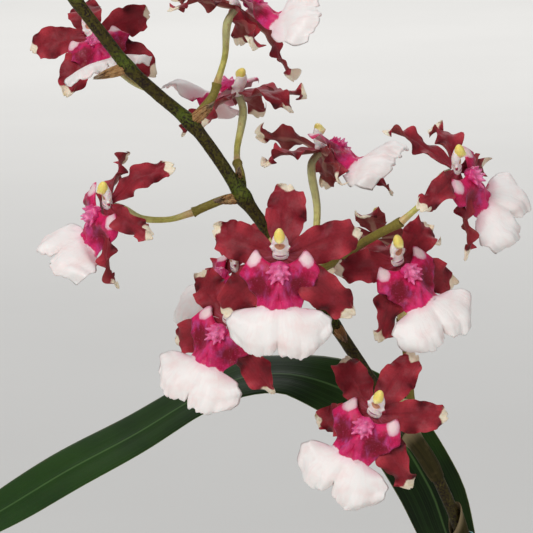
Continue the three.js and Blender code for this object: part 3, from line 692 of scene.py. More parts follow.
class FlowerSettings(bpy.types.PropertyGroup):
    tepal_thickness: length("Tepal thickness", "Thickness of a tepal at its midrib", 0.7)
    tepal_wave: length("Tepal wave", "How far the tepals' edges wave", 1.0)
    tepal_ruffle: length("Tepal ruffle", "Height of the small ruffles on the tepals' edges", 0.45)
    lip_thickness: length("Lip thickness", "Thickness of the lip", 0.75)
    lip_ruffle: length("Lip ruffle", "Height of the ruffles on the lip's blade", 0.5)
    column_length: length("Column length", "Length of the column", 6.0)
    tepal_colour: colour("Tepal", "Main colour of the tepals", 124, 18, 32)
    # Painted shade, laid in blotches over the tepals; the darker veins take the same colour.
    tepal_shade_and_veins: colour("Tepal valleys", "Colour in the valleys of the tepals", 52, 2, 8)
    # Painted highlight, laid on the crests of the tepals' ripples.
    tepal_highlight: colour("Tepal crests", "Colour on the crests of the tepals", 182, 54, 66)
    tip_colour: colour("Tepal tips", "Colour of the tepals' tips", 246, 230, 206)
    reverse_colour: colour("Tepal reverse", "Colour of the tepals' backs", 132, 62, 58)
    waist_colour: colour("Lip waist", "Colour of the upper lip", 226, 26, 102)
    # Painted shade, laid in the hollows beside the callus.
    hollow_shade_colour: colour("Lip hollows", "Colour in the hollows beside the callus", 118, 0, 24)
    blade_colour: colour("Lip blade", "Colour of the broad lower lip", 255, 246, 242)
    callus_colour: colour("Callus", "Colour of the warty callus", 226, 60, 132)
    cap_colour: colour("Anther cap", "Colour of the cap on the column", 255, 230, 122)


class PlantSettings(bpy.types.PropertyGroup):
    spike_radius: length("Spike radius", "Radius of the main flower stem", 1.35)
    branch_radius: length("Branch radius", "Radius of the side branches", 0.95)
    pedicel_radius: length("Pedicel radius", "Radius of each flower's own stalk", 0.74)
    leaf_thickness: length("Leaf thickness", "Thickness of a leaf at its midrib", 1.0)
    spike_colour: colour("Spike", "Main colour of the flower stem", 62, 54, 14)
    spike_fresh: colour("Spike, fresh", "Colour of the stem just above its nodes", 78, 92, 26)
    spike_freckle: colour("Spike freckles", "Colour of the fine mottling", 30, 16, 18)
    pedicel_colour: colour("Pedicel", "Colour of the flower stalks", 214, 206, 112)
    bract_colour: colour("Bract", "Colour of the papery bracts", 176, 134, 88)
    leaf_colour: colour("Leaf", "Colour of the leaves", 30, 56, 4)
    leaf_dark: colour("Leaf, shaded", "Darker colour of the leaves", 12, 28, 4)
    bulb_colour: colour("Pseudobulb", "Colour of the pseudobulbs", 118, 138, 58)
    bud_colour: colour("Bud", "Colour of the closed buds", 122, 52, 56)
    tie_colour: colour("Tie", "Colour of the plastic tie", 32, 142, 138)


class PotSettings(bpy.types.PropertyGroup):
    height: length("Height", "Height of the pot", 82)
    base_radius: length("Base radius", "Radius of the pot's foot", 35)
    rim_radius: length("Rim radius", "Radius of the pot's rim", 50)
    wall: length("Wall", "Thickness of the pot's wall", 3)
    rim_height: length("Rim height", "Height of the rim band", 13)
    chip_count: IntProperty(name="Bark chips", description="Rough number of bark chips",
                            default=420, min=0)
    chip_size: length("Chip size", "Length of a bark chip", 9)
    clay_colour: colour("Clay", "Colour of the fired clay", 188, 104, 66)
    bloom_colour: colour("Bloom", "Colour of the lime bloom on the clay", 214, 178, 152)
    bark_colour: colour("Bark", "Colour of the bark chips", 116, 74, 48)


class StageSettings(bpy.types.PropertyGroup):
    floor_size: FloatProperty(name="Floor size", description="Side of the floor", default=26.0,
                              subtype="DISTANCE", unit="LENGTH")
    distance: FloatProperty(name="Camera distance", description="From the camera to the flowers",
                            default=0.7, subtype="DISTANCE", unit="LENGTH")
    lens: FloatProperty(name="Lens", description="Focal length", default=214.9, unit="CAMERA")
    tilt: FloatProperty(name="Camera tilt", description="How far the camera looks down",
                        default=math.radians(10), subtype="ANGLE", unit="ROTATION")
    key_power: FloatProperty(name="Key light", description="Power of the large light", default=17.0,
                             subtype="POWER", unit="POWER")
    fill_power: FloatProperty(name="Fill light", description="Power of the second light",
                              default=3.5, subtype="POWER", unit="POWER")
    floor_power: FloatProperty(name="Floor light", default=80.0, subtype="POWER", unit="POWER",
                               description="Power of the light over the floor behind")
    sky: FloatProperty(name="Room light", description="Strength of the light from all round",
                       default=0.27)
    floor_colour: colour("Floor", "Colour of the floor", 226, 224, 220)


# ---- finishes ------------------------------------------------------------------------------------
def tepal_finish(s):
    f = Finish("tepal_velvet", roughness=0.5, specular_ior_level=0.22,
               sheen_weight=0.06, sheen_roughness=0.4, sheen_tint=(*linear(255, 170, 170), 1),
               subsurface_weight=0.12, subsurface_scale=0.0012, subsurface_radius=(1.0, 0.25, 0.2))
    cloud = f.noise(3.2, 4)
    vein = f.lines(22, 3.5, 0.42, 0.75)
    crest = f.field("crest")
    # painted shade: blotches of the darker colour over the main colour
    colour = f.mix(f.step(cloud, 0.4, 0.72), s.tepal_colour, s.tepal_shade_and_veins)
    # painted highlight: the crests of the ripples are lightened, and the valleys keep the darker
    # colour beneath
    crest = f.step(f.calc("ADD", crest, f.calc("MULTIPLY", cloud, 0.5)), -0.2, 0.9)
    colour = f.mix(crest, colour, s.tepal_highlight)
    colour = f.tint(colour, s.tepal_shade_and_veins, 0.22, vein)
    grain = f.noise(0.45)
    colour = f.tint(colour, linear(96, 14, 26), 0.35, f.step(grain, 0.5, 0.75))
    lilac = f.both(f.patches(1.7, 0.5, 0.72, 4), f.patches(5, 0.4, 0.65, 2))
    colour = f.tint(colour, linear(170, 74, 92), 0.3, lilac)
    # pale lines run out from the claw
    claw = f.both(f.step(f.along, 0.24, 0.02), f.lines(12, 1.6, 0.4, 0.7))
    colour = f.tint(colour, linear(204, 120, 150), 0.4, claw)
    # the back is duller, with a pale midrib
    reverse = f.under_side()
    middle = f.calc("ABSOLUTE", f.calc("SUBTRACT", f.across, 2.5))
    rib = f.both(f.step(middle, 0.09, 0.02), f.step(f.along, 0.7, 0.1))
    back = f.mix(f.step(cloud, 0.35, 0.75), s.reverse_colour, s.tepal_colour)
    back = f.tint(back, linear(206, 172, 150), 0.6, rib)
    colour = f.tint(colour, back, 0.8, reverse)
    # the tip is cream, with an uneven border
    wobble = f.jitter(1.3, 1.1)
    tip = f.calc("ADD", f.field("tip"), wobble)
    cream = f.mix(f.patches(1.2, 0.5, 0.8), s.tip_colour, linear(226, 208, 164))
    colour = f.mix(f.step(tip, -0.25, 0.2), colour, cream)
    rough = f.between(f.noise(0.5), 0.42, 0.62)
    height = f.calc("ADD", f.calc("MULTIPLY", f.veins(22, 3.5), 0.3),
                    f.calc("MULTIPLY", grain, 0.5))
    height = f.calc("ADD", height, f.calc("MULTIPLY", f.noise(2.6, 2), 1.6))
    return f.done(colour, f.bump(height, 0.2, 0.8), rough)


def lip_finish(s):
    f = Finish("lip_satin", roughness=0.45, specular_ior_level=0.28, sheen_weight=0.05,
               subsurface_weight=0.2, subsurface_scale=0.0012, subsurface_radius=(1.0, 0.5, 0.5))
    # the waist has deep crimson painted shade in its hollows, a painted violet sheen about them and
    # pink on its ridge
    waist = f.mix(f.patches(2.2, 0.35, 0.7, 4), s.waist_colour, linear(184, 10, 68))
    ragged = f.jitter(1.8, 1.5)
    sunk = f.both(f.step(f.calc("ADD", f.field("hollow"), ragged), 0.0, 0.75),
                  f.ramp("hollow", 0.0, 0.15))
    # painted shade: deep crimson in the hollows beside the callus
    waist = f.tint(waist, s.hollow_shade_colour, 0.9, sunk)
    # painted sheen: violet laid on the flanks about each hollow
    fold = f.both(f.ramp("hollow", 0.02, 0.25), f.ramp("hollow", 0.9, 0.35))
    violet_sheen = f.both(fold, f.patches(1.3, 0.46, 0.7, 4, stretch=(1, 1, 0.5)))
    waist = f.tint(waist, linear(190, 92, 168), 0.5, violet_sheen)
    waist = f.tint(waist, linear(222, 70, 130), 0.3, f.ramp("ridge", 0.3, 1.0))
    band = f.both(f.ramp("blush", 2.6, 0.2), f.patches(1.6, 0.3, 0.6))
    waist = f.tint(waist, linear(222, 46, 118), 0.5, band)
    waist = f.tint(waist, linear(156, 6, 54), 0.25, f.lines(22, 3, 0.5, 0.75))
    waist = f.tint(waist, linear(240, 96, 162), 0.22, f.patches(0.4, 0.56, 0.7))
    # each ear has a pale patch
    ear = f.calc("ADD", f.field("ear"), f.jitter(1.1, 0.9))
    patch = f.mix(f.step(ear, 0.1, 1.0), linear(236, 172, 192), linear(250, 224, 224))
    waist = f.tint(waist, patch, 0.9, f.step(ear, -0.1, 0.3))
    # the blade is nearly white, with a blush where it leaves the waist
    pale = f.mix(f.patches(4, 0.4, 0.8), s.blade_colour, linear(252, 230, 226))
    pale = f.tint(pale, linear(244, 206, 206), 0.25, f.lines(30, 3, 0.5, 0.8))
    blush = f.field("blush")
    pale = f.tint(pale, linear(240, 150, 180), 0.35, f.step(blush, -2.2, 0.0))
    edge = f.calc("ADD", blush, f.jitter(1.3, 1.3))
    colour = f.mix(f.step(edge, -0.18, 0.18), pale, waist)
    colour = f.tint(colour, linear(238, 196, 200), 0.5, f.under_side())
    height = f.calc("ADD", f.veins(30, 3), f.calc("MULTIPLY", f.noise(0.4), 0.6))
    return f.done(colour, f.bump(height, 0.12, 0.7))


def callus_finish(s):
    f = Finish("callus_wax", roughness=0.32, subsurface_weight=0.2, subsurface_scale=0.001)
    low = f.mix(f.patches(1.4, 0.35, 0.7), s.callus_colour, linear(196, 34, 104))
    # painted highlight: the callus grows paler where its teeth stand furthest out in front
    colour = f.mix(f.ramp("height", 0.1, 0.8), low, linear(240, 128, 176))
    return f.done(colour, f.bump(f.noise(0.5), 0.15))


def column_finish():
    f = Finish("column_wax", roughness=0.38, subsurface_weight=0.25, subsurface_scale=0.001)
    spots = f.patches(0.9, 0.58, 0.68)
    colour = f.tint(linear(255, 242, 238), linear(226, 120, 164), 0.3, spots)
    colour = f.mix(f.ramp("wing", 0.3, 0.55), colour, linear(150, 10, 52))
    colour = f.tint(colour, linear(136, 16, 84), 0.9, f.ramp("foot", 0.4, 0.8))
    colour = f.mix(f.ramp("stigma", 0.2, 0.4), colour, linear(206, 146, 112))
    colour = f.mix(f.ramp("stigma", 0.9, 1.0), colour, linear(150, 62, 40))
    return f.done(colour, f.bump(f.noise(0.6), 0.08))


def cap_finish(s):
    f = Finish("cap_wax", roughness=0.35, subsurface_weight=0.25, subsurface_scale=0.001)
    colour = f.mix(f.ramp("height", 0.0, 0.5), linear(255, 240, 186), s.cap_colour)
    colour = f.tint(colour, linear(236, 190, 92), 0.35, f.patches(0.7, 0.55, 0.8))
    return f.done(colour, f.bump(f.noise(0.5), 0.06))


def pedicel_finish(s):
    f = Finish("pedicel_skin", roughness=0.4, subsurface_weight=0.12, subsurface_scale=0.001)
    along = f.field("share")
    base = f.mix(f.patches(2.5, 0.35, 0.7), s.pedicel_colour, linear(184, 178, 84))
    base = f.mix(f.step(along, 0.22, 0.0), base, linear(206, 172, 116))
    # painted sheen: a pale whitish tint over the upper part of each stalk
    colour = f.tint(base, linear(212, 216, 186), 0.35, f.step(along, 0.35, 0.7))
    colour = f.tint(colour, linear(128, 110, 112), 0.5, f.step(along, 0.8, 1.0))
    freckles = f.patches(0.8, 0.56, 0.7, stretch=(1, 1, 0.4))
    colour = f.tint(colour, linear(150, 96, 70), 0.35, freckles)
    return f.done(colour, f.bump(f.noise(0.7), 0.1))


def spike_finish(s):
    f = Finish("spike_skin", roughness=0.5, specular_ior_level=0.18)
    tone = f.mix(f.patches(9, 0.35, 0.7, 2), s.spike_colour, linear(72, 66, 18))
    tone = f.mix(f.ramp("fresh", 0.05, 0.9), tone, s.spike_fresh)
    tone = f.tint(tone, linear(146, 132, 60), 0.8, f.field("twig"))
    fine = f.patches(0.5, 0.42, 0.6, 4)
    broad = f.patches(2.0, 0.2, 0.6)
    mottle = f.both(f.both(fine, broad), f.ramp("twig", 1.6, -0.3))
    colour = f.mix(mottle, tone, s.spike_freckle)
    pale = f.patches(0.7, 0.6, 0.72, 2, stretch=(1, 1, 0.35))
    colour = f.tint(colour, linear(150, 136, 74), 0.2, pale)
    return f.done(colour, f.bump(f.noise(0.6), 0.1))


def bract_finish(s):
    f = Finish("bract_paper", roughness=0.7, specular_ior_level=0.2,
               subsurface_weight=0.08, subsurface_scale=0.0008)
    colour = f.tint(s.bract_colour, linear(112, 76, 44), 0.7, f.lines(18, 1.6, 0.4, 0.68))
    colour = f.tint(colour, linear(214, 184, 136), 0.5, f.patches(1.6, 0.5, 0.75, 4))
    colour = f.tint(colour, linear(84, 52, 32), 0.7, f.patches(1.1, 0.58, 0.7))
    colour = f.tint(colour, linear(120, 112, 104), 0.6, f.step(f.along, 0.72, 1.0))
    return f.done(colour, f.bump(f.veins(18, 1.6), 0.2))


def sheath_finish():
    f = Finish("sheath_paper", roughness=0.7, specular_ior_level=0.12)
    colour = f.tint(linear(60, 54, 26), linear(40, 36, 18), 0.6, f.lines(22, 1.4, 0.42, 0.66))
    colour = f.tint(colour, linear(104, 88, 54), 0.4, f.patches(2.2, 0.52, 0.74, 4))
    colour = f.tint(colour, linear(176, 156, 120), 0.65, f.step(f.along, 0.72, 1.0))
    return f.done(colour, f.bump(f.veins(22, 1.4), 0.2))


def leaf_finish(s):
    f = Finish("leaf_gloss", roughness=0.4, specular_ior_level=0.16,
               subsurface_weight=0.04, subsurface_scale=0.0015)
    ribs = f.lines(46, 1.2, 0.4, 0.66)
    colour = f.mix(f.patches(26, 0.35, 0.68), s.leaf_colour, s.leaf_dark)
    colour = f.tint(colour, linear(54, 88, 38), 0.2, ribs)
    colour = f.tint(colour, linear(48, 88, 38), 0.3, f.step(f.along, 0.55, 0.95))
    middle = f.calc("ABSOLUTE", f.calc("SUBTRACT", f.calc("FRACT", f.across), 0.5))
    colour = f.tint(colour, linear(84, 116, 64), 0.6, f.step(middle, 0.03, 0.0))
    colour = f.tint(colour, linear(150, 170, 104), 0.8, f.step(middle, 0.485, 0.5))
    colour = f.tint(colour, linear(98, 128, 74), 0.45, f.under_side())
    rough = f.between(f.noise(5), 0.46, 0.62)
    return f.done(colour, f.bump(f.veins(46, 1.2), 0.12, 0.6), rough)


def bulb_finish(s):
    f = Finish("bulb_skin", roughness=0.4, subsurface_weight=0.05, subsurface_scale=0.002)
    cloud = f.patches(14, 0.3, 0.7, stretch=(1, 1, 0.4))
    colour = f.mix(cloud, s.bulb_colour, linear(86, 112, 44))
    colour = f.tint(colour, linear(168, 150, 78), 0.7, f.step(f.along, 0.32, 0.0))
    # painted shade: darker green in the sunken grooves between the ribs
    colour = f.tint(colour, linear(60, 80, 30), 0.4, f.ramp("groove", 0.3, 1.0))
    colour = f.tint(colour, linear(110, 78, 44), 0.55, f.patches(1.4, 0.62, 0.72, 4))
    return f.done(colour, f.bump(f.noise(1.6, 4, stretch=(1, 1, 0.3)), 0.3))


def husk_finish():
    f = Finish("husk_paper", roughness=0.75)
    colour = f.mix(f.lines(30, 1.6, 0.35, 0.7), linear(190, 160, 112), linear(122, 92, 60))
    colour = f.tint(colour, linear(216, 198, 158), 0.6, f.patches(4, 0.5, 0.75, 4))
    return f.done(colour, f.bump(f.veins(30, 1.6), 0.5))


def bud_finish(s):
    f = Finish("bud_skin", roughness=0.45, subsurface_weight=0.1, subsurface_scale=0.001,
               sheen_weight=0.1)
    colour = f.mix(f.patches(2.5, 0.35, 0.7, 4), s.bud_colour, linear(92, 28, 36))
    colour = f.mix(f.step(f.along, 0.5, 0.15), colour, linear(150, 152, 84))
    # painted shade: darker along the sunken seams between the sepals
    colour = f.tint(colour, linear(58, 14, 22), 0.6, f.ramp("groove", 0.35, 1.0))
    colour = f.mix(f.step(f.along, 0.9, 1.0), colour, linear(214, 186, 132))
    return f.done(colour, f.bump(f.noise(0.7), 0.12))


def tie_finish(s):
    f = Finish("tie_plastic", roughness=0.38)
    colour = f.mix(f.patches(1.6, 0.35, 0.7), s.tie_colour, linear(22, 112, 112))
    return f.done(colour, f.bump(f.noise(0.4), 0.05))


def clay_finish(s):
    f = Finish("terracotta", roughness=0.85, specular_ior_level=0.3)
    tone = f.mix(f.patches(22, 0.35, 0.68, 5), s.clay_colour, linear(166, 84, 52))
    rings = f.noise(3.5, stretch=(0.06, 0.06, 1.0))
    tone = f.tint(tone, linear(206, 128, 86), 0.3, f.step(rings, 0.45, 0.7))
    # lime blooms at the foot and on the rim
    height = f.node("ShaderNodeSeparateXYZ", {0: f.place}).outputs[2]
    foot = f.step(height, 0.03, 0.0)
    rim = f.step(height, 0.062, 0.08)
    bloom = f.calc("MULTIPLY", f.patches(9, 0.46, 0.72, 6, roughness=0.65),
                   f.calc("ADD", f.calc("MAXIMUM", foot, rim), 0.25), True)
    tone = f.tint(tone, s.bloom_colour, 0.75, bloom)
    tone = f.tint(tone, linear(122, 62, 40), 0.4, f.patches(0.9, 0.6, 0.72))
    bumps = f.calc("ADD", f.calc("MULTIPLY", rings, 0.8), f.calc("MULTIPLY", f.noise(0.8, 5), 0.6))
    return f.done(tone, f.bump(bumps, 0.35))


def bark_finish(s, name="bark_chips"):
    f = Finish(name, roughness=0.88, specular_ior_level=0.25)
    grain = f.noise(2.0, 6, 0.65, stretch=(1, 0.35, 1))
    tone = f.mix(f.patches(8, 0.3, 0.7), s.bark_colour, linear(84, 50, 34))
    tone = f.tint(tone, linear(150, 104, 70), 0.6, f.step(grain, 0.42, 0.66))
    tone = f.tint(tone, linear(48, 30, 22), 0.6, f.patches(1.1, 0.58, 0.7, 4))
    return f.done(tone, f.bump(grain, 0.9))


def root_finish():
    f = Finish("root_skin", roughness=0.7, subsurface_weight=0.08, subsurface_scale=0.001)
    colour = f.mix(f.patches(3, 0.35, 0.7, 4), linear(206, 200, 178), linear(168, 158, 132))
    colour = f.mix(f.patches(11, 0.62, 0.8, 2), colour, linear(132, 140, 84))
    return f.done(colour, f.bump(f.noise(0.7), 0.15))


def floor_finish(s):
    f = Finish("pale_floor", roughness=0.8)
    shade = [0.97 * c for c in s.floor_colour]
    return f.done(f.mix(f.patches(400, 0.3, 0.7), s.floor_colour, shade))


# ---- flower pieces, in the flower's own frame: x right, y up, z the way it faces -----------------
def tepal_mesh(flower, which, s):
    name, angle, long, wide = TEPALS[which]
    slim = FLOWERS[flower][4]
    turn, lift, stretch, twist = FLOWERS[flower][5][which]
    phase = (0.37 * flower + 0.23 * which) % 1
    long *= 0.97 * stretch
    # the rows lie closer together toward the tip
    t = np.concatenate([np.linspace(0, 0.8, 34), np.linspace(0.8, 1, 18)[1:]])[:, None]
    v = np.sin(np.linspace(-1, 1, 29) * math.pi / 2)[None, :]
    a = math.radians(angle + turn)
    out = np.array([math.cos(a), math.sin(a), 0.0])
    side = np.array([-math.sin(a), math.cos(a), 0.0])
    front = np.array([0.0, 0.0, 1.0])

    def rise(x):
        sway = (5 + 8 * max(slim, 0)) * wave(1.3 * x + phase) * smooth(0.1, 0.4, x)
        return np.radians(lift - 28 * smooth(0.1, 1, x) - 14 * smooth(0.72, 1, x) + sway)

    # the spine is the sum of short steps up its own slope
    steps = 240
    fine = np.linspace(0, 1, steps + 1)
    mid = rise((fine[1:] + fine[:-1]) / 2)
    run = np.concatenate([[0], np.cumsum(np.cos(mid))]) * long / steps
    climb = np.concatenate([[0], np.cumsum(np.sin(mid))]) * long / steps
    # a broad tepal is egg-shaped, and a slim one narrows before its tip
    broad = through(t, ((0, 0.2), (0.08, 0.28), (0.2, 0.6), (0.36, 0.9), (0.52, 1.0),
                        (0.68, 0.96), (0.82, 0.79), (0.92, 0.57), (1, 0.34)))
    narrow = through(t, ((0, 0.2), (0.12, 0.26), (0.28, 0.54), (0.42, 0.7), (0.56, 0.68),
                         (0.7, 0.46), (0.8, 0.42), (0.9, 0.54), (1, 0.42)))
    half = wide / 2 * (broad + (narrow - broad) * max(slim, 0))
    upper = v > 0
    scallop = (0.035 * wave(4.3 * t + np.where(upper, phase, 2.4 * phase + 0.4))
               + 0.015 * wave(8.3 * t + np.where(upper, 3 * phase, 5 * phase)))
    half = half * (1 + scallop * smooth(0.15, 0.4, t) * smooth(1.02, 0.9, t))
    # the edges ripple and ruffle, the midrib is sunk, and the blade between is a little quilted
    ripple = np.sin(2 * math.pi * (2.2 * t + phase) + np.where(upper, 0, 2.1))
    ripple = ripple * smooth(0.15, 0.5, t)
    ruffle = wave(5.1 * t + np.where(upper, 2 * phase, 3 * phase + 0.3)) * smooth(0.2, 0.5, t)
    x = half * v
    deep = 1 + 0.5 * slim
    off = v**2 * (0.06 * wide * (1 - 0.6 * t) + deep * s.tepal_wave / MM * ripple)
    off = off + np.abs(v) ** 3 * deep * s.tepal_ruffle / MM * ruffle
    off = off - 0.22 * bump_at(v, 0, 0.16) * smooth(0.02, 0.2, t) * smooth(0.98, 0.8, t)
    quilt = 0.16 * np.sin(3.1 * t * long / 2 + 5 * phase) * np.cos(4.5 * v + 9 * phase)
    off = off + quilt * smooth(0.1, 0.4, t)
    # the tip is round, with one small notch between two bumps, and lopsided on a lower sepal
    even = "petal" in name or "dorsal" in name
    lean = 0.1 * math.sin(7 * phase) if even else 0.3 * (1 if math.cos(9 * phase) > 0 else -1)
    round_off = 2.8 * (1 - np.sqrt(np.clip(1 - 0.97 * v**2, 0, 1)))
    notch = (0.7 if even else 0.45) * bump_at(v, lean, 0.15)
    end = smooth(0.8, 1, t) ** 1.5 * (lean * 1.6 * v - round_off - notch)
    slope, tw = rise(t), np.radians(twist) * smooth(0.1, 1, t)
    normal = front * np.cos(slope)[..., None] - out * np.sin(slope)[..., None]
    ahead = out * np.cos(slope)[..., None] + front * np.sin(slope)[..., None]
    across = side * np.cos(tw)[..., None] + normal * np.sin(tw)[..., None]
    level = normal * np.cos(tw)[..., None] - side * np.sin(tw)[..., None]
    spine = out * np.interp(t, fine, run)[..., None] + front * np.interp(t, fine, climb)[..., None]
    drift = 0.9 * math.sin(2 * math.pi * phase) * t**2
    grid = (spine + side * drift[..., None] + across * x[..., None] + level * off[..., None]
            + ahead * end[..., None])
    thick = s.tepal_thickness / MM * (1 - np.abs(v) ** 3) * (0.55 + 0.45 * smooth(1.0, 0.3, t))
    keel = 0.15 * bump_at(v, 0, 0.1) * smooth(1, 0.2, t)
    tip = (t - 0.91) * long + end * 0.6 + 1.0 * bump_at(v, lean, 0.4) + 2.2 * lean * v
    # how high each point stands on the ripples, for the painted highlight on the crests
    crest = 0.8 * v**2 * ripple + 0.3 * np.abs(v) ** 3 * ruffle
    return blade(name, grid, thick * 0.45, thick * 0.55 + keel, {"tip": tip, "crest": crest})


def turned(points, centre, degrees):
    """Points swung forward about the side-to-side line through a centre given as (up, out)."""
    a = np.radians(degrees)
    y, z = points[..., 1] - centre[0], points[..., 2] - centre[1]
    return np.stack([points[..., 0], centre[0] + y * np.cos(a) + z * np.sin(a),
                     centre[1] + z * np.cos(a) - y * np.sin(a)], -1)


def hung(points, flower):
    """Points of a lip as this flower holds it: swung at its root, flared at its waist, twisted."""
    tilt, flare, twist = FLOWERS[flower][3][:3]
    level = LIP_WAIST[1]
    x, y, z = points[..., 0], points[..., 1], points[..., 2] - level
    a = np.radians(twist) * smooth(7, 13, -y)
    points = np.stack([x * np.cos(a) + z * np.sin(a), y, level + z * np.cos(a) - x * np.sin(a)], -1)
    points = turned(points, LIP_WAIST, flare * smooth(8.5, 12.5, -y))
    return turned(points, LIP_ROOT, tilt)


def lip_mesh(flower, s):
    phase = (0.41 * flower + 0.17) % 1
    split = FLOWERS[flower][3][3]
    # upper lip: two ears beside the callus, then a narrow waist
    t, v = sheet(30, 55)
    av = np.abs(v)
    half = through(t, ((0, 7.6), (0.1, 8.3), (0.22, 8.4), (0.38, 7.5), (0.6, 6.2), (0.85, 4.9),
                       (1, 4.7)))
    ears = through(av, ((0, 0), (0.3, 0.2), (0.55, 1.6), (0.7, 3.0), (0.84, 1.6), (1, -0.9)))
    half = half * (1 + 0.035 * wave(2.7 * t + phase + 0.3 * (v > 0)))
    x1 = half * v
    y1 = LIP_ROOT[0] - WAIST_LENGTH * t + ears * (1 - t) ** 2.4
    z1 = through(t, ((0, 1.9), (0.25, 2.9), (0.5, 3.0), (0.8, 2.7), (1, 3.0)))
    z1 = z1 - av**1.6 * (2.4 - 0.7 * t)
    # an inverted V of a ridge from the callus to the waist, and a hollow either side of it, with a
    # broader field about each hollow for the painted shade
    fork = 1.7 * smooth(0.45, 1.0, t)
    ridge = bump_at(np.abs(x1), fork, 0.75) * smooth(0.35, 0.55, t)
    hollow = bump_at(np.hypot((np.abs(x1) - 3.9) / 2.0, (y1 + 6.7) / 2.5), 0, 1.0)
    hollow_shade_field = bump_at(np.hypot((np.abs(x1) - 4.3) / 3.0, (y1 + 6.4) / 3.1), 0, 1.0)
    z1 = z1 + 0.75 * ridge - 1.35 * hollow
    z1 = z1 + 0.4 * np.sin(2 * math.pi * (1.9 * t + 2 * phase) + 2 * (v > 0)) * av**3
    z1 = z1 + 0.22 * wave(4.3 * t + phase) * av**4 + 0.5 * av**6 * (1 - t)
    # lower lip: a broad lobed blade, notched in the middle, with a nicked hem
    q = (np.linspace(0, 1, 37)[1:] ** 0.9)[:, None]
    wide = through(q, ((0, 4.7), (0.2, 7.8), (0.45, 10.0), (0.68, 11.1), (0.86, 11.1), (1, 10.2)))
    wide = wide * (1 + 0.02 * wave(3.1 * q + 1.7 * phase + 0.4 * (v > 0)))
    rim = through(q, ((0, -10.8), (0.2, -11.1), (0.45, -12.0), (0.68, -13.5), (0.86, -15.3),
                      (1, -17.3)))
    w = av**3
    x2 = wide * v
    y2 = (LIP_WAIST[0] - (9.6 - 1.5 * split) * q) * (1 - w) + rim * w
    uneven = 0.35 * math.sin(2 * math.pi * phase)
    lobes = (1.2 + 1.3 * split - uneven * np.sign(v)) * bump_at(av, 0.47, 0.3)
    y2 = y2 - lobes * smooth(0.2, 1, q)
    nick = 0.35 * math.cos(5 * phase)
    notch = (1.5 + 1.1 * split) * bump_at(x2, nick, 0.42 + 0.3 * split)
    y2 = y2 + notch * smooth(0.6, 1, q)
    y2 = y2 - 0.8 * bump_at(x2, nick + 1.3, 0.55) * smooth(0.85, 1, q)
    hem = 0.2 * wave(4.6 * v + phase) + 0.13 * wave(9.7 * v + 2 * phase)
    y2 = y2 + hem * smooth(0.8, 1, q) * (1 - w)
    z2 = through(q, ((0, 3.0), (0.3, 3.6), (0.7, 3.9), (1, 3.5))) - 2.3 * av**2
    z2 = z2 + 0.5 * bump_at(av, 0.5, 0.3) * smooth(0.1, 0.5, q)
    z2 = z2 - 0.35 * bump_at(x2, 0, 0.9) * smooth(0.1, 0.4, q)
    folds = wave(2.6 * v + phase) * smooth(0.35, 1, q)
    folds = folds + 0.45 * wave(5.7 * v + 2 * phase) * smooth(0.55, 1, q)
    ruffle = s.lip_ruffle / MM
    z2 = z2 + 0.7 * ruffle * folds
    flounce = ruffle * wave(1.9 * q + 2 * phase + 0.3 * (v > 0)) * av**3
    z2 = z2 + flounce * smooth(0.1, 0.4, q)
    z2 = z2 - (0.8 + phase) * smooth(0.7, 1.15, q)
    grid = np.stack([np.vstack([x1, x2]), np.vstack([y1, y2]), np.vstack([z1, z2])], -1)
    x, y = grid[..., 0], grid[..., 1]
    # the pale patch of an ear keeps off its edge, and there is none on the blade
    border = np.minimum((1 - av) * half * 0.8, 0.9 + t * WAIST_LENGTH)
    border = np.vstack([border, np.full(x2.shape, -9.0)])
    ear = 1.0 - np.hypot((np.abs(x) - 5.5 + 0.25 * (y + 0.9)) / 1.55, (y + 0.6) / 1.9)
    thick = s.lip_thickness / MM * (1 - av**4) * np.ones_like(x)
    return blade("lip", hung(grid, flower), thick * 0.5, thick * 0.5, {
        "blush": y + 10.9 + 0.35 * np.cos(x * 0.9 + phase) - 0.18 * np.clip(np.abs(x) - 5, 0, 9),
        "ear": np.minimum(ear * 1.7, (border - 0.45) * 1.6),
        "hollow": np.vstack([hollow_shade_field, 0 * x2]),
        "ridge": np.vstack([ridge, bump_at(np.abs(x2), 1.7, 0.75) * smooth(0.1, 0, q)]),
    })


def cone_of(start, tip, radius, sides=10):
    """Rings of a rounded tooth, for joining with others."""
    start, tip = np.array(start, float), np.array(tip, float)
    axis = unit(tip - start)
    right = unit(np.cross(axis, (0.3, 0.9, 0.2)))
    up = np.cross(axis, right)
    spin = np.arange(sides) * 2 * math.pi / sides
    ring = np.cos(spin)[:, None] * right + np.sin(spin)[:, None] * up
    share = np.array([0, 0.15, 0.45, 0.75, 0.93, 1.0])
    girth = radius * np.array([0.75, 1.0, 0.8, 0.5, 0.28, 0.1])
    return start + (tip - start) * share[:, None, None] + ring * girth[:, None, None]


def callus_mesh():
    """The warty callus at the top of the lip, its teeth grown together."""
    rough = join_meshes("callus_teeth", [loft("tooth", cone_of(*tooth)) for tooth in CALLUS_TEETH])
    made = evaluated(rough, [
        ("REMESH", {"mode": "VOXEL", "voxel_size": 0.19, "use_smooth_shade": True}),
        ("SMOOTH", {"factor": 0.5, "iterations": 3}),
    ], "callus")
    write_field(made, "height", (points_of(made)[:, 2] - 3.0) / 2.3)
    return made


def leaning(degrees):
    """Three directions for a part that leans up from straight out: along, to its back, right."""
    lean = math.radians(degrees)
    return (np.array([0, math.sin(lean), math.cos(lean)]),
            np.array([0, math.cos(lean), -math.sin(lean)]), np.array([1.0, 0, 0]))


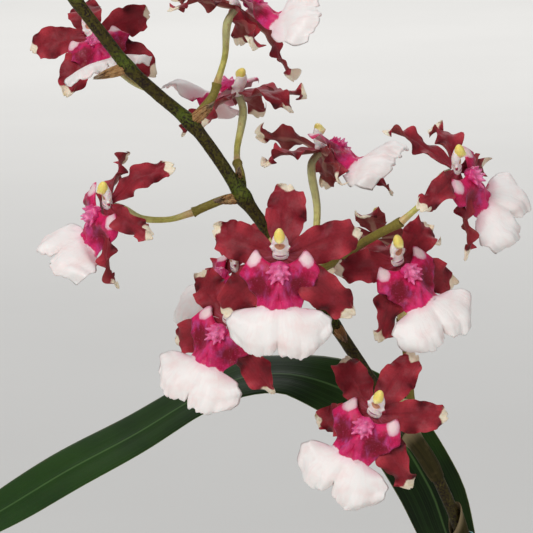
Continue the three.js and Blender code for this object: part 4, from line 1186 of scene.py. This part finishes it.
def column_mesh(s):
    """Column with its side wings and the brown hollow of the stigma."""
    axis, back, right = leaning(50)
    share = np.linspace(0, 1, 40)[:, None]
    spin = turn_of(40)[None]
    from_belly = np.abs((spin - math.pi / 2 + math.pi) % (2 * math.pi) - math.pi)
    wide = through(share, ((0, 1.75), (0.14, 1.72), (0.28, 1.5), (0.4, 1.5), (0.55, 1.75),
                           (0.8, 1.6), (1, 1.05)))
    deep = through(share, ((0, 1.2), (0.12, 1.25), (0.28, 1.05), (0.45, 1.1), (0.62, 1.2),
                           (0.8, 1.05), (1, 0.75)))
    stigma = bump_at(share, 0.58, 0.13) * bump_at(from_belly, 0, 0.72)
    wing = bump_at(share, 0.42, 0.1) * bump_at(from_belly, 1.3, 0.24)
    foot = bump_at(share, 0.17, 0.035) * bump_at(from_belly, 0, 1.3)
    grow = 1 - 0.45 * stigma + 0.85 * wing
    long = s.column_length / MM
    rings = (axis * (share * long)[..., None] + right * (np.cos(spin) * wide * grow)[..., None]
             - back * (np.sin(spin) * deep * grow)[..., None])
    return loft("column", rings, {"stigma": stigma, "wing": wing, "foot": foot})


def cap_mesh():
    """Egg-shaped anther cap with a small beak, split by a shallow furrow."""
    axis, back, right = leaning(62)
    start, long = np.array([0, 2.9, 3.6]), 3.5
    share = np.linspace(0.03, 0.97, 20)[:, None]
    spin = turn_of(28)[None]
    belly = np.cos(spin - math.pi / 2)
    girth = 1.2 * np.sqrt(np.clip(1 - ((share - 0.48) / 0.5) ** 2, 0.01, 1)) * (1.12 - 0.34 * share)
    furrow = 1 - 0.12 * bump_at(np.cos(spin), 0, 0.2) * (belly > 0) * smooth(0.1, 0.4, share)
    beak = 1 + 0.45 * bump_at(share, 0.14, 0.13) * np.clip(belly, 0, 1) ** 6
    rings = (start + axis * (share * long)[..., None]
             + right * (np.cos(spin) * girth * furrow)[..., None]
             - back * (np.sin(spin) * girth * furrow * beak)[..., None])
    return loft("cap", rings, {"height": share})


# ---- pot and plant pieces ------------------------------------------------------------------------
def inside_radius(s, z):
    """Radius of the pot's inner face at a height."""
    foot, rim, wall = (x / MM for x in (s.base_radius, s.rim_radius, s.wall))
    return np.interp(z, (0, s.height / MM), (foot - wall, rim - RIM_STEP - wall))


def thrown(outline, around, sway=0.0):
    """Rings of an outline of radii and heights, turned about the upright axis, a little uneven."""
    outline = np.array(outline)
    spin = turn_of(around)
    uneven = 1 + sway * np.sin(3 * spin + 1)[None, :] * smooth(0, 20, outline[:, 1])[:, None]
    rings = np.zeros((len(outline), around, 3))
    around_axis = np.stack([np.cos(spin), np.sin(spin)], 1)
    rings[..., :2] = (outline[:, 0, None] * uneven)[..., None] * around_axis
    rings[..., 2] = outline[:, 1, None]
    return rings


def pot_mesh(s):
    high, foot, rim, wall, band = (
        x / MM for x in (s.height, s.base_radius, s.rim_radius, s.wall, s.rim_height))
    shoulder = high - band
    neck = inside_radius(s, shoulder) + wall
    top_inner = rim - RIM_STEP - wall
    # from the foot up the outside, over the rim and down the inside
    outline = [(foot - 9, 0), (foot - 1.4, 0), (foot - 0.4, 0.35), (foot, 1.2)]
    outline += [(inside_radius(s, z) + wall, z) for z in np.linspace(6, shoulder - 1, 12)]
    outline += [(neck + 0.2, shoulder - 0.3), (neck + 1.6, shoulder + 0.1),
                (neck + 2.4, shoulder + 0.9)]
    outline += [(np.interp(z, (shoulder, high), (neck + 2.5, rim - 0.6)), z)
                for z in np.linspace(shoulder + 2, high - 2.2, 5)]
    outline += [(rim - 0.7, high - 1.0), (rim - 1.3, high - 0.25), (rim - 2.2, high),
                (top_inner + 1.4, high), (top_inner + 0.4, high - 0.4), (top_inner, high - 1.2)]
    outline += [(inside_radius(s, z), z) for z in np.linspace(high - 8, 8, 10)]
    corner = inside_radius(s, POT_FLOOR)
    outline += [(corner - 0.6, POT_FLOOR + 1.0), (corner - 1.8, POT_FLOOR + 0.1),
                (foot - 12, POT_FLOOR)]
    mesh = loft("pot_clay", thrown(outline, 128, 0.0016))
    mesh.transform(TO_METRES)
    return mesh


def drains_mesh():
    """Pegs that stand where the pot's drain holes are cut."""
    spin = turn_of(32)
    pegs = []
    for k in range(DRAIN_HOLES):
        a = 2 * math.pi * k / DRAIN_HOLES
        ring = np.stack([DRAIN_CIRCLE * math.cos(a) + DRAIN_RADIUS * np.cos(spin),
                         DRAIN_CIRCLE * math.sin(a) + DRAIN_RADIUS * np.sin(spin)], 1)
        walls = np.zeros((2, len(ring), 3))
        walls[..., :2] = ring
        walls[0, :, 2], walls[1, :, 2] = -5, POT_FLOOR + 5
        pegs.append(loft("drain", walls))
    mesh = join_meshes("drains", pegs)
    mesh.transform(TO_METRES)
    return mesh


def bed_mesh(s):
    """The bed of bark under the loose chips; its clear field is 1 where chips may lie."""
    inner = inside_radius(s, MEDIUM_TOP)
    low = inside_radius(s, 0) - 0.3
    outline = [(6, 4.3), (low * 0.6, 4.3), (low, 4.6), (inner - 1.2, MEDIUM_TOP - 3)]
    outline += [(inner * k, MEDIUM_TOP - 1.2) for k in np.linspace(0.97, 0.06, 26)]
    rings = thrown(outline, 96)
    x, y = rings[..., 0], rings[..., 1]
    surface = rings[..., 2] > MEDIUM_TOP - 2
    lumps = (1.1 * np.sin(0.31 * x + 1) * np.cos(0.27 * y) + 0.7 * np.sin(0.9 * x + 0.4 * y)
             + 0.5 * np.sin(0.7 * y - 1.1 * x + 2))
    rings[..., 2] += lumps * surface
    clear = np.ones_like(x)
    for (bx, by, _), _, wide, deep, turn, _ in BULBS:
        a = math.radians(turn)
        along = (x - bx) * math.cos(a) + (y - by) * math.sin(a)
        aside = (y - by) * math.cos(a) - (x - bx) * math.sin(a)
        clear *= smooth(0.95, 1.3, np.hypot(along / wide, aside / deep))
    clear *= smooth(0.97, 0.93, np.hypot(x, y) / inner) * surface
    mesh = loft("bark_bed", rings, {"clear": clear})
    mesh.transform(TO_METRES)
    return mesh


def chip_tree():
    """Rough blocks strewn over a mesh where its clear field is 1."""
    w, given, output = modifier_tree(
        "scatter_chips",
        ("Count", "Float", 400.0), ("Chip Size", "Float", 0.009), ("Seed", "Int", 4),
        ("Material", "Material", None),
    )
    clear = w.node("GeometryNodeInputNamedAttribute", {"Name": "clear"}).outputs[0]
    density = w.calc("MULTIPLY", clear, w.calc("DIVIDE", given["Count"], BED_AREA))
    spots = w.node("GeometryNodeDistributePointsOnFaces", {
        "Mesh": given["Geometry"], "Density": density, "Seed": given["Seed"],
    }).outputs
    block = w.node("GeometryNodeMeshCube", {"Vertices X": 4, "Vertices Y": 3, "Vertices Z": 3,
                                            "Size": (1.0, 0.62, 0.34)}).outputs[0]
    place = w.node("GeometryNodeInputPosition").outputs[0]
    rough = w.node("ShaderNodeTexNoise", {"Vector": place, "Scale": 2.3, "Detail": 2.0})
    shift = w.node("ShaderNodeVectorMath", {0: rough.outputs["Color"], 1: (0.5, 0.5, 0.5)},
                   operation="SUBTRACT").outputs[0]
    block = w.node("GeometryNodeSetPosition", {0: block, "Offset": w.scaled(shift, 0.55)})
    swing, size = (
        w.node("FunctionNodeRandomValue", {0: low, 1: high, "Seed": seed},
               data_type="FLOAT_VECTOR").outputs[0]
        for low, high, seed in (((-0.6, -0.6, 0.0), (0.6, 0.6, 6.28), 7),
                                ((0.45, 0.45, 0.5), (1.1, 1.0, 1.2), 11))
    )
    tumbled = w.node("FunctionNodeEulerToRotation", {0: swing}).outputs[0]
    chips = w.node("GeometryNodeInstanceOnPoints", {
        "Points": spots["Points"], "Instance": block.outputs[0], "Rotation": tumbled,
        "Scale": w.scaled(size, given["Chip Size"]),
    }).outputs[0]
    close_tree(w, chips, given["Material"], output)
    return w.tree


def bulb_place(spec):
    """From a pseudobulb's own millimetres to the plant's metres."""
    foot, turn, lean = spec[0], *spec[4:]
    return TO_METRES @ (Matrix.Translation(foot) @ Matrix.Rotation(math.radians(lean), 4, "Y")
                        @ Matrix.Rotation(math.radians(turn), 4, "Z"))


def bulb_mesh(spec, seed):
    height, wide, deep = spec[1:4]
    z = np.concatenate([np.linspace(0.0, 0.9, 40), np.linspace(0.9, 0.995, 8)[1:]])[:, None]
    spin = turn_of(72)[None]
    girth = through(z, ((0, 0.6), (0.12, 0.86), (0.35, 1.0), (0.62, 0.84), (0.85, 0.5),
                        (0.96, 0.3), (1, 0.18)))
    lobes = (np.cos(8 * spin + 0.7 * seed + 0.5 * np.sin(3 * z)) * 0.5
             + 0.3 * np.cos(13 * spin + seed))
    groove = np.clip(-lobes, 0, 1) * smooth(0.02, 0.2, z) * smooth(1, 0.75, z)
    girth = girth * (1 - 0.05 * groove + 0.015 * np.sin(5 * z + 2 * spin))
    rings = np.stack([np.cos(spin) * girth * wide, np.sin(spin) * girth * deep,
                      np.broadcast_to(z * height, girth.shape)], -1)
    mesh = loft("bulb", rings, {"groove": groove})
    mesh.transform(bulb_place(spec))
    return mesh


def husk_mesh(spec, seed, side, tall):
    """A dry husk about a pseudobulb's foot, as tall as this share of it, open to one side."""
    height, wide, deep = spec[1:4]
    first = side < 0
    t, v = sheet(30, 25)
    spread = 1.25 * (1 - smooth(0.25, 1.05, t) ** 1.3) * v + (math.pi if first else 0)
    z = t * tall * height + 3 * math.sin((0 if first else 4) + seed) * t * v
    girth = through(z / height, ((0, 0.66), (0.12, 0.92), (0.35, 1.05), (0.62, 0.92)))
    girth = girth + 0.06 + 0.14 * smooth(0.6, 1, t) + 0.02 * np.sin(9 * v + 5 * t)
    grid = np.stack([np.cos(spread) * girth * wide, np.sin(spread) * girth * deep, z], -1)
    mesh = blade("husk", grid, 0.25, 0.25)
    mesh.transform(bulb_place(spec))
    return mesh


def leaf_mesh(leaf, s):
    path, half, channel, looks = LEAVES[leaf]
    rows = 96
    foot = np.array(path[0]) - 3 * unit(np.array(path[1], float) - path[0])
    line = smooth_path([foot, *path], rows)
    t, v = sheet(rows, 25)
    stops = np.linspace(0, 1, len(looks))
    face = np.stack([np.interp(t[:, 0], stops, np.array(looks)[:, c]) for c in range(3)], 1)
    side = unit(np.cross(tangents(line), face))
    normal = np.cross(side, tangents(line))
    wide = half * (0.24 + 0.76 * smooth(0, 0.4, t)) * (1 - smooth(0.72, 1.06, t) ** 1.4)
    # the foot of a leaf is folded along its midrib
    folded = channel + 1.4 * smooth(0.16, 0, t)
    wide = wide * (1 - 0.3 * smooth(0.1, 0, t))
    off = folded * wide * (np.sqrt(v**2 + 0.004) - 0.06)
    off = off + 0.35 * np.sin(9 * t + 1.3 * leaf + 2 * (v > 0)) * v**2 * smooth(0.1, 0.4, t)
    edge = 1 + 0.012 * np.sin(23 * t + leaf)
    grid = (line[:, None] + side[:, None] * (wide * v * edge)[..., None]
            + normal[:, None] * off[..., None])
    thick = s.leaf_thickness / MM * (1 - v**4) * smooth(1.02, 0.9, t)
    thick = thick * (1 + 0.5 * bump_at(v, 0, 0.12))
    mesh = blade("leaf", grid[:, ::-1], thick * 0.3, thick * 0.5)
    mesh.transform(TO_METRES)
    return mesh


def stems_mesh(main, skin, s):
    """The spike and its side branches, thicker at their nodes. Its fields say what is fresh
    green just above a node, and what is a thin side branch."""
    nodes = [np.array(b[0]) for b in BRANCHES[:3]] + [np.array(b[0]) for b in BRACTS]
    share = np.linspace(0, 1, SPIKE_POINTS)
    thick = np.full(SPIKE_POINTS, s.spike_radius / MM)
    for node in nodes:
        thick += 0.2 * bump_at(np.linalg.norm(main - node, axis=1), 0, 2.2)
    thick *= 1 - 0.28 * smooth(0.86, 1, share)
    thick *= 1 + 0.22 * smooth(0.35, 0, share)
    share = np.linspace(0, 1, BRANCH_POINTS)
    thin = s.branch_radius / MM * (1 + 0.25 * smooth(0.12, 0, share)
                                   + 0.2 * bump_at(share, 1, 0.06))
    lines = [main] + [smooth_path(branch, BRANCH_POINTS) for branch in BRANCHES]
    stems = grow_stalks("flower_spike_stems", lines, [thick] + [thin] * len(BRANCHES), skin,
                        Sides=20, Ribs=5, Rib_Depth=0.02, Lump_Height=0.16 * MM, Lump_Size=1.5 * MM)
    points = points_of(stems) / MM
    fresh = np.zeros(len(points))
    for node in nodes:
        away = points - node
        near = bump_at(np.linalg.norm(away, axis=1), 0, 4.5)
        fresh = np.maximum(fresh, near * smooth(-2, 1.5, away[:, 2]))
    off_main = np.linalg.norm(points[:, None] - main[None, ::4], axis=2).min(1)
    write_field(stems, "fresh", fresh)
    write_field(stems, "twig", smooth(1.9, 4, off_main))
    return stems


def bract_mesh(bract):
    """A papery bract, curled about the stem at its foot, creased and frayed at its tip."""
    root, direction, long, wide = BRACTS[bract]
    along = unit(direction)
    side = unit(np.cross(along, (0, -1, 0.15)))
    out = np.cross(side, along)
    t, v = sheet(26, 17)
    width = wide * through(t, ((0, 0.62), (0.2, 0.62), (0.55, 0.5), (0.85, 0.24), (1, 0.05)))
    curl = np.radians(through(t, ((0, 120), (0.3, 95), (1, 60))))
    radius = width / curl
    fold = radius * (1 - np.cos(curl * v))
    frayed = (0.6 * np.sin(11 * v + 3 * bract) + 0.35 * np.sin(23 * v + bract)) * smooth(0.5, 1, t)
    crease = 0.22 * np.sin(9 * v + 4 * t + bract) + 0.16 * np.sin(17 * v - 9 * t + 2 * bract)
    crease = (crease + 0.12 * np.sin(31 * t + 6 * v)) * smooth(0.05, 0.4, t)
    path = np.array(root) + along * (t * long - 0.8)[..., None]
    bend = 0.16 * long * t**2 + 0.25 * np.sin(5 * t + bract)
    grid = (path + side * (radius * np.sin(curl * v))[..., None]
            - out * (fold - bend - crease)[..., None] + along * frayed[..., None])
    mesh = blade("bract", grid, 0.1, 0.1)
    mesh.transform(TO_METRES)
    return mesh


def sheath_mesh(sheath, main):
    """A closed sheath that wraps the spike a little more than once round, its lip slanted."""
    start, end, radius = SHEATHS[sheath]
    t, v = sheet(30, 41)
    spin = math.pi * 1.04 * v + 0.8 + 1.9 * sheath
    reach = t * (1 - 0.45 * smooth(0.1, 1, np.abs(v)))
    at = (start + (end - start) * reach) * (SPIKE_POINTS - 1)
    low = np.clip(at.astype(int), 0, SPIKE_POINTS - 2)
    spine = main[low] + (main[low + 1] - main[low]) * (at - low)[..., None]
    ahead = tangents(main)[low]
    right = unit(np.cross(ahead, (0, 1, 0)))
    up = np.cross(right, ahead)
    hug = radius - 0.42 + 0.3 * smooth(0, 0.3, t) + 0.12 * (v + 1) + 0.25 * smooth(0.8, 1, t)
    grid = spine + right * (np.cos(spin) * hug)[..., None] + up * (np.sin(spin) * hug)[..., None]
    mesh = blade("sheath", grid, 0.1, 0.1)
    mesh.transform(TO_METRES)
    return mesh


def tie_mesh(main):
    at = TIE_SHARE * (SPIKE_POINTS - 1)
    low = int(at)
    centre = main[low] + (main[low + 1] - main[low]) * (at % 1)
    ahead = tangents(main)[low]
    right = unit(np.cross(ahead, (0, 1, 0)))
    up = np.cross(right, ahead)
    spin = turn_of(64)
    outward = np.cos(spin)[:, None] * right + np.sin(spin)[:, None] * up
    # how far each point of the section stands out and along, the outer half mirrored
    bead = ((0.66, -0.2), (0.5, -0.3), (0.5, -0.6), (0.6, -0.9), (0.55, -1.2), (0.35, -1.3),
            (0.12, -1.25))
    section = np.array([(0.0, 1.1), (0.0, -1.1), *bead[::-1], (0.7, 0.0),
                        *((out, -along) for out, along in bead)])
    rings = (centre + outward[:, None] * (TIE_RADIUS + section[:, 0])[None, :, None]
             + ahead * section[:, 1][None, :, None])
    rows, cols = rings.shape[:2]
    index = np.arange(rows * cols).reshape(rows, cols)
    nxt = np.roll(index, -1, axis=0)
    quads = np.stack([index, nxt, np.roll(nxt, -1, axis=1), np.roll(index, -1, axis=1)], -1)
    quads = quads.reshape(-1, 4)
    mesh = make_mesh("tie", rings.reshape(-1, 3), quads, np.zeros((len(quads), 4, 2)))
    mesh.transform(TO_METRES)
    return mesh


def bud_mesh(bud):
    foot, tip, radius = BUDS[bud]
    foot, tip = np.array(foot, float), np.array(tip, float)
    ahead = unit(tip - foot)
    right = unit(np.cross(ahead, (0.2, 1, 0.1)))
    up = np.cross(right, ahead)
    t = np.linspace(0, 0.995, 44)[:, None]
    spin = turn_of(48)[None]
    girth = radius * through(t, ((0, 0.22), (0.1, 0.2), (0.3, 0.3), (0.48, 0.76), (0.68, 1.0),
                                 (0.86, 0.74), (0.96, 0.36), (1, 0.08)))
    seam = np.clip(np.cos(3 * spin + 2.5 * t + bud), 0, 1) ** 6 * smooth(0.35, 0.6, t)
    girth = girth * (1 - 0.14 * seam + 0.03 * np.cos(6 * spin))
    lean = 0.6 * np.sin(math.pi * t)
    rings = (foot + (tip - foot) * t[..., None] + up * lean[..., None]
             + right * (np.cos(spin) * girth)[..., None] + up * (np.sin(spin) * girth)[..., None])
    mesh = loft("bud", rings, {"groove": seam})
    mesh.transform(TO_METRES)
    return mesh


def pedicel_mesh(flower, name, paint, s):
    """A flower's own stalk, from inside the spike to the ovary behind the flower."""
    centre = np.array(FLOWERS[flower][0], float)
    face = flower_axes(flower)[2]
    line = smooth_path([*PEDICELS[flower], centre - 3.5 * face, centre - 0.6 * face],
                       PEDICEL_POINTS)
    girth = through(np.linspace(0, 1, PEDICEL_POINTS),
                    ((0, 1.15), (0.12, 0.95), (0.5, 1.0), (0.8, 1.2), (1, 1.05)))
    mesh = grow_stalks(name, [line], [s.pedicel_radius / MM * girth], paint, Sides=24, Ribs=6,
                       Rib_Depth=0.06, Lump_Height=0.1 * MM, Lump_Size=1.5 * MM)
    run = np.zeros(len(mesh.vertices), np.float32)
    mesh.attributes["along"].data.foreach_get("value", run)
    write_field(mesh, "share", run / run.max())
    return mesh


# ---- operators -----------------------------------------------------------------------------------
class ORCHID_OT_stage(bpy.types.Operator):
    """Set up the floor, the soft lights and the camera"""

    bl_idname = "orchid.stage"
    bl_label = "Stage"

    def execute(self, context):
        scene = context.scene
        s = scene.orchid_stage
        half = s.floor_size / 2
        mesh = bpy.data.meshes.new("floor")
        mesh.from_pydata([(-half, -half, 0), (half, -half, 0), (half, half, 0), (-half, half, 0)],
                         [], [(0, 1, 2, 3)])
        mesh.materials.append(floor_finish(s))
        floor = bpy.data.objects.new("floor", mesh)
        scene.collection.objects.link(floor)

        world = bpy.data.worlds.new("room")
        world.use_nodes = True
        sky = world.node_tree.nodes["Background"]
        sky.inputs["Color"].default_value = (0.93, 0.96, 1.0, 1)
        sky.inputs["Strength"].default_value = s.sky
        scene.world = world

        target = np.array(VIEW_CENTRE)
        for name, place, size, power, at_flowers in (
            ("key_light", (-0.75, -1.15, 1.35), 0.9, s.key_power, True),
            ("fill_light", (1.1, -0.9, 0.75), 1.1, s.fill_power, True),
            ("floor_light", (0.0, 3.6, 2.6), 3.2, s.floor_power, False),
        ):
            lamp = bpy.data.lights.new(name, "AREA")
            lamp.shape = "DISK"
            lamp.size = size
            lamp.energy = power
            held = bpy.data.objects.new(name, lamp)
            held.location = place
            away = unit(np.array(place) - target) if at_flowers else np.array([0.0, 0.0, 1.0])
            bearing = math.atan2(away[1], away[0])
            held.rotation_euler = (math.acos(away[2]), 0, bearing + math.pi / 2)
            scene.collection.objects.link(held)

        camera = bpy.data.cameras.new("camera")
        camera.lens = s.lens
        camera.sensor_width = 36
        camera.clip_end = 100
        held = bpy.data.objects.new("camera", camera)
        held.location = target + s.distance * np.array([0, -math.cos(s.tilt), math.sin(s.tilt)])
        held.rotation_euler = (math.pi / 2 - s.tilt, 0, 0)
        scene.collection.objects.link(held)
        scene.camera = held
        scene.view_settings.view_transform = "Standard"
        return {"FINISHED"}


class ORCHID_OT_pot(bpy.types.Operator):
    """Throw the clay pot with its rim and drain holes"""

    bl_idname = "orchid.pot"
    bl_label = "Clay pot"

    def execute(self, context):
        s = context.scene.orchid_pot
        clay = pot_mesh(s)
        drill = bpy.data.objects.new("drains", drains_mesh())
        context.scene.collection.objects.link(drill)
        made = evaluated(clay, [
            ("BOOLEAN", {"operation": "DIFFERENCE", "solver": "EXACT", "object": drill}),
        ], "pot_clay")
        bpy.data.objects.remove(drill)
        settle("clay_pot", made, clay_finish(s), ["pot"])
        return {"FINISHED"}


class ORCHID_OT_medium(bpy.types.Operator):
    """Fill the pot with bark chips and a few roots"""

    bl_idname = "orchid.medium"
    bl_label = "Potting medium"

    def execute(self, context):
        s = context.scene.orchid_pot
        bed_paint, chip_paint = bark_finish(s, "bark_bed"), bark_finish(s)
        bed = bed_mesh(s)
        chips = run_tree(chip_tree(), bed.copy(), "bark_chips", Count=float(s.chip_count),
                         Chip_Size=s.chip_size, Material=chip_paint)
        chips.polygons.foreach_set("use_smooth", np.zeros(len(chips.polygons), bool))
        settle("bark_bed", bed, bed_paint, ["potting_medium"])
        settle("bark_chips", chips, chip_paint, ["potting_medium"])
        lines = [smooth_path(route, ROOT_POINTS) for route in ROOTS]
        taper = 0.5 * smooth(0.88, 1, np.linspace(0, 1, ROOT_POINTS))
        girths = [1.15 + 0.12 * np.sin(np.linspace(0, 9, ROOT_POINTS) + k) - taper
                  for k in range(len(ROOTS))]
        paint = root_finish()
        roots = grow_stalks("roots", lines, girths, paint, Lump_Height=0.5 * MM, Lump_Size=2 * MM)
        settle("roots", roots, paint, ["potting_medium"])
        return {"FINISHED"}


class ORCHID_OT_bulbs(bpy.types.Operator):
    """Grow the pseudobulbs with the dry husks at their feet"""

    bl_idname = "orchid.bulbs"
    bl_label = "Pseudobulbs"

    def execute(self, context):
        skin, paper = bulb_finish(context.scene.orchid_plant), husk_finish()
        for k, spec in enumerate(BULBS):
            node = f"pseudobulb_{k + 1}"
            settle(f"{node}_skin", bulb_mesh(spec, k), skin, [node])
            for n, (side, tall) in enumerate(((-1, 0.46), (1, 0.34))):
                husk = husk_mesh(spec, k, side, tall)
                settle(f"{node}_husk_{n + 1}", husk, paper, [node])
        return {"FINISHED"}


class ORCHID_OT_leaves(bpy.types.Operator):
    """Grow the strap leaves"""

    bl_idname = "orchid.leaves"
    bl_label = "Leaves"

    def execute(self, context):
        s = context.scene.orchid_plant
        paint = leaf_finish(s)
        for k in range(len(LEAVES)):
            settle(f"leaf_{k + 1}_blade", leaf_mesh(k, s), paint, [f"leaf_{k + 1}"])
        return {"FINISHED"}


class ORCHID_OT_spike(bpy.types.Operator):
    """Grow the flower spike with its branches, bracts and sheaths"""

    bl_idname = "orchid.spike"
    bl_label = "Flower spike"

    def execute(self, context):
        s = context.scene.orchid_plant
        skin, paper, sheath_paint = spike_finish(s), bract_finish(s), sheath_finish()
        main = smooth_path(SPIKE_PATH, SPIKE_POINTS)
        stems = stems_mesh(main, skin, s)
        settle("flower_spike_stems", stems, skin, ["flower_spike"])
        for k in range(len(BRACTS)):
            settle(f"bract_{k + 1}", bract_mesh(k), paper, ["flower_spike"])
        for k in range(len(SHEATHS)):
            sheath = sheath_mesh(k, main)
            settle(f"sheath_{k + 1}", sheath, sheath_paint, ["flower_spike"])
        return {"FINISHED"}


class ORCHID_OT_tie(bpy.types.Operator):
    """Close the plastic tie round the spike"""

    bl_idname = "orchid.tie"
    bl_label = "Tie"

    def execute(self, context):
        ring = tie_mesh(smooth_path(SPIKE_PATH, SPIKE_POINTS))
        paint = tie_finish(context.scene.orchid_plant)
        settle("spike_tie_ring", ring, paint, ["spike_tie"])
        return {"FINISHED"}


class ORCHID_OT_buds(bpy.types.Operator):
    """Grow the closed buds at the tip of the spike"""

    bl_idname = "orchid.buds"
    bl_label = "Buds"

    def execute(self, context):
        paint = bud_finish(context.scene.orchid_plant)
        for k in range(len(BUDS)):
            settle(f"bud_{k + 1}_skin", bud_mesh(k), paint, [f"bud_{k + 1}"])
        return {"FINISHED"}


class ORCHID_OT_pedicels(bpy.types.Operator):
    """Grow each flower's stalk with the ribbed ovary behind the flower"""

    bl_idname = "orchid.pedicels"
    bl_label = "Pedicels"

    def execute(self, context):
        s = context.scene.orchid_plant
        paint = pedicel_finish(s)
        for i, name in each_flower():
            stalk = pedicel_mesh(i, name + "_stalk", paint, s)
            settle(name + "_stalk", stalk, paint, [name + "_pedicel"])
        return {"FINISHED"}


class ORCHID_OT_tepals(bpy.types.Operator):
    """Open the three sepals and two petals of every flower"""

    bl_idname = "orchid.tepals"
    bl_label = "Tepals"

    def execute(self, context):
        s = context.scene.orchid_flower
        paint = tepal_finish(s)
        for i, name in each_flower():
            for which, spec in enumerate(TEPALS):
                mesh = tepal_mesh(i, which, s)
                mesh.transform(flower_matrix(i))
                settle(f"{name}_{spec[0]}", mesh, paint, [name + "_tepals"])
        return {"FINISHED"}


class ORCHID_OT_columns(bpy.types.Operator):
    """Set the column and its anther cap in every flower"""

    bl_idname = "orchid.columns"
    bl_label = "Columns"

    def execute(self, context):
        s = context.scene.orchid_flower
        for part, made, paint in (("column", column_mesh(s), column_finish()),
                                  ("anther_cap", cap_mesh(), cap_finish(s))):
            for i, name in each_flower():
                mesh = made.copy()
                mesh.transform(flower_matrix(i))
                settle(f"{name}_{part}", mesh, paint, [name + "_tepals"])
            bpy.data.meshes.remove(made)
        return {"FINISHED"}


class ORCHID_OT_lips(bpy.types.Operator):
    """Hang the lip with its callus in every flower"""

    bl_idname = "orchid.lips"
    bl_label = "Lips"

    def execute(self, context):
        s = context.scene.orchid_flower
        paint, wax = lip_finish(s), callus_finish(s)
        callus = callus_mesh()
        points = points_of(callus)
        for i, name in each_flower():
            mesh = lip_mesh(i, s)
            mesh.transform(flower_matrix(i))
            settle(name + "_lip_blade", mesh, paint, [name + "_lip"])
            mesh = callus.copy()
            mesh.vertices.foreach_set("co", hung(points, i).astype(np.float32).ravel())
            mesh.transform(flower_matrix(i))
            settle(name + "_callus", mesh, wax, [name + "_lip"])
        bpy.data.meshes.remove(callus)
        return {"FINISHED"}


OPERATORS = (
    ORCHID_OT_stage, ORCHID_OT_pot, ORCHID_OT_medium, ORCHID_OT_bulbs, ORCHID_OT_leaves,
    ORCHID_OT_spike, ORCHID_OT_tie, ORCHID_OT_buds, ORCHID_OT_pedicels, ORCHID_OT_tepals,
    ORCHID_OT_columns, ORCHID_OT_lips,
)
SETTINGS = (
    ("orchid_flower", FlowerSettings), ("orchid_plant", PlantSettings),
    ("orchid_pot", PotSettings), ("orchid_stage", StageSettings),
)


class ORCHID_PT_bench(bpy.types.Panel):
    """Lists the pieces of the orchid in the order they are made"""

    bl_idname = "ORCHID_PT_bench"
    bl_label = "Oncidium orchid"
    bl_space_type = "VIEW_3D"
    bl_region_type = "UI"
    bl_category = "Orchid"

    def draw(self, context):
        for operator in OPERATORS:
            self.layout.operator(operator.bl_idname)
        for key, group in SETTINGS:
            box = self.layout.box()
            for name in group.__annotations__:
                box.prop(getattr(context.scene, key), name)


def register():
    for _, group in SETTINGS:
        bpy.utils.register_class(group)
    for operator in OPERATORS:
        bpy.utils.register_class(operator)
    bpy.utils.register_class(ORCHID_PT_bench)
    for key, group in SETTINGS:
        setattr(bpy.types.Scene, key, PointerProperty(type=group))


def unregister():
    for key, _ in SETTINGS:
        delattr(bpy.types.Scene, key)
    bpy.utils.unregister_class(ORCHID_PT_bench)
    for operator in reversed(OPERATORS):
        bpy.utils.unregister_class(operator)
    for _, group in reversed(SETTINGS):
        bpy.utils.unregister_class(group)


def main():
    register()
    for operator in OPERATORS:
        group, name = operator.bl_idname.split(".")
        getattr(getattr(bpy.ops, group), name)()
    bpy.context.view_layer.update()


if __name__ == "__main__":
    main()
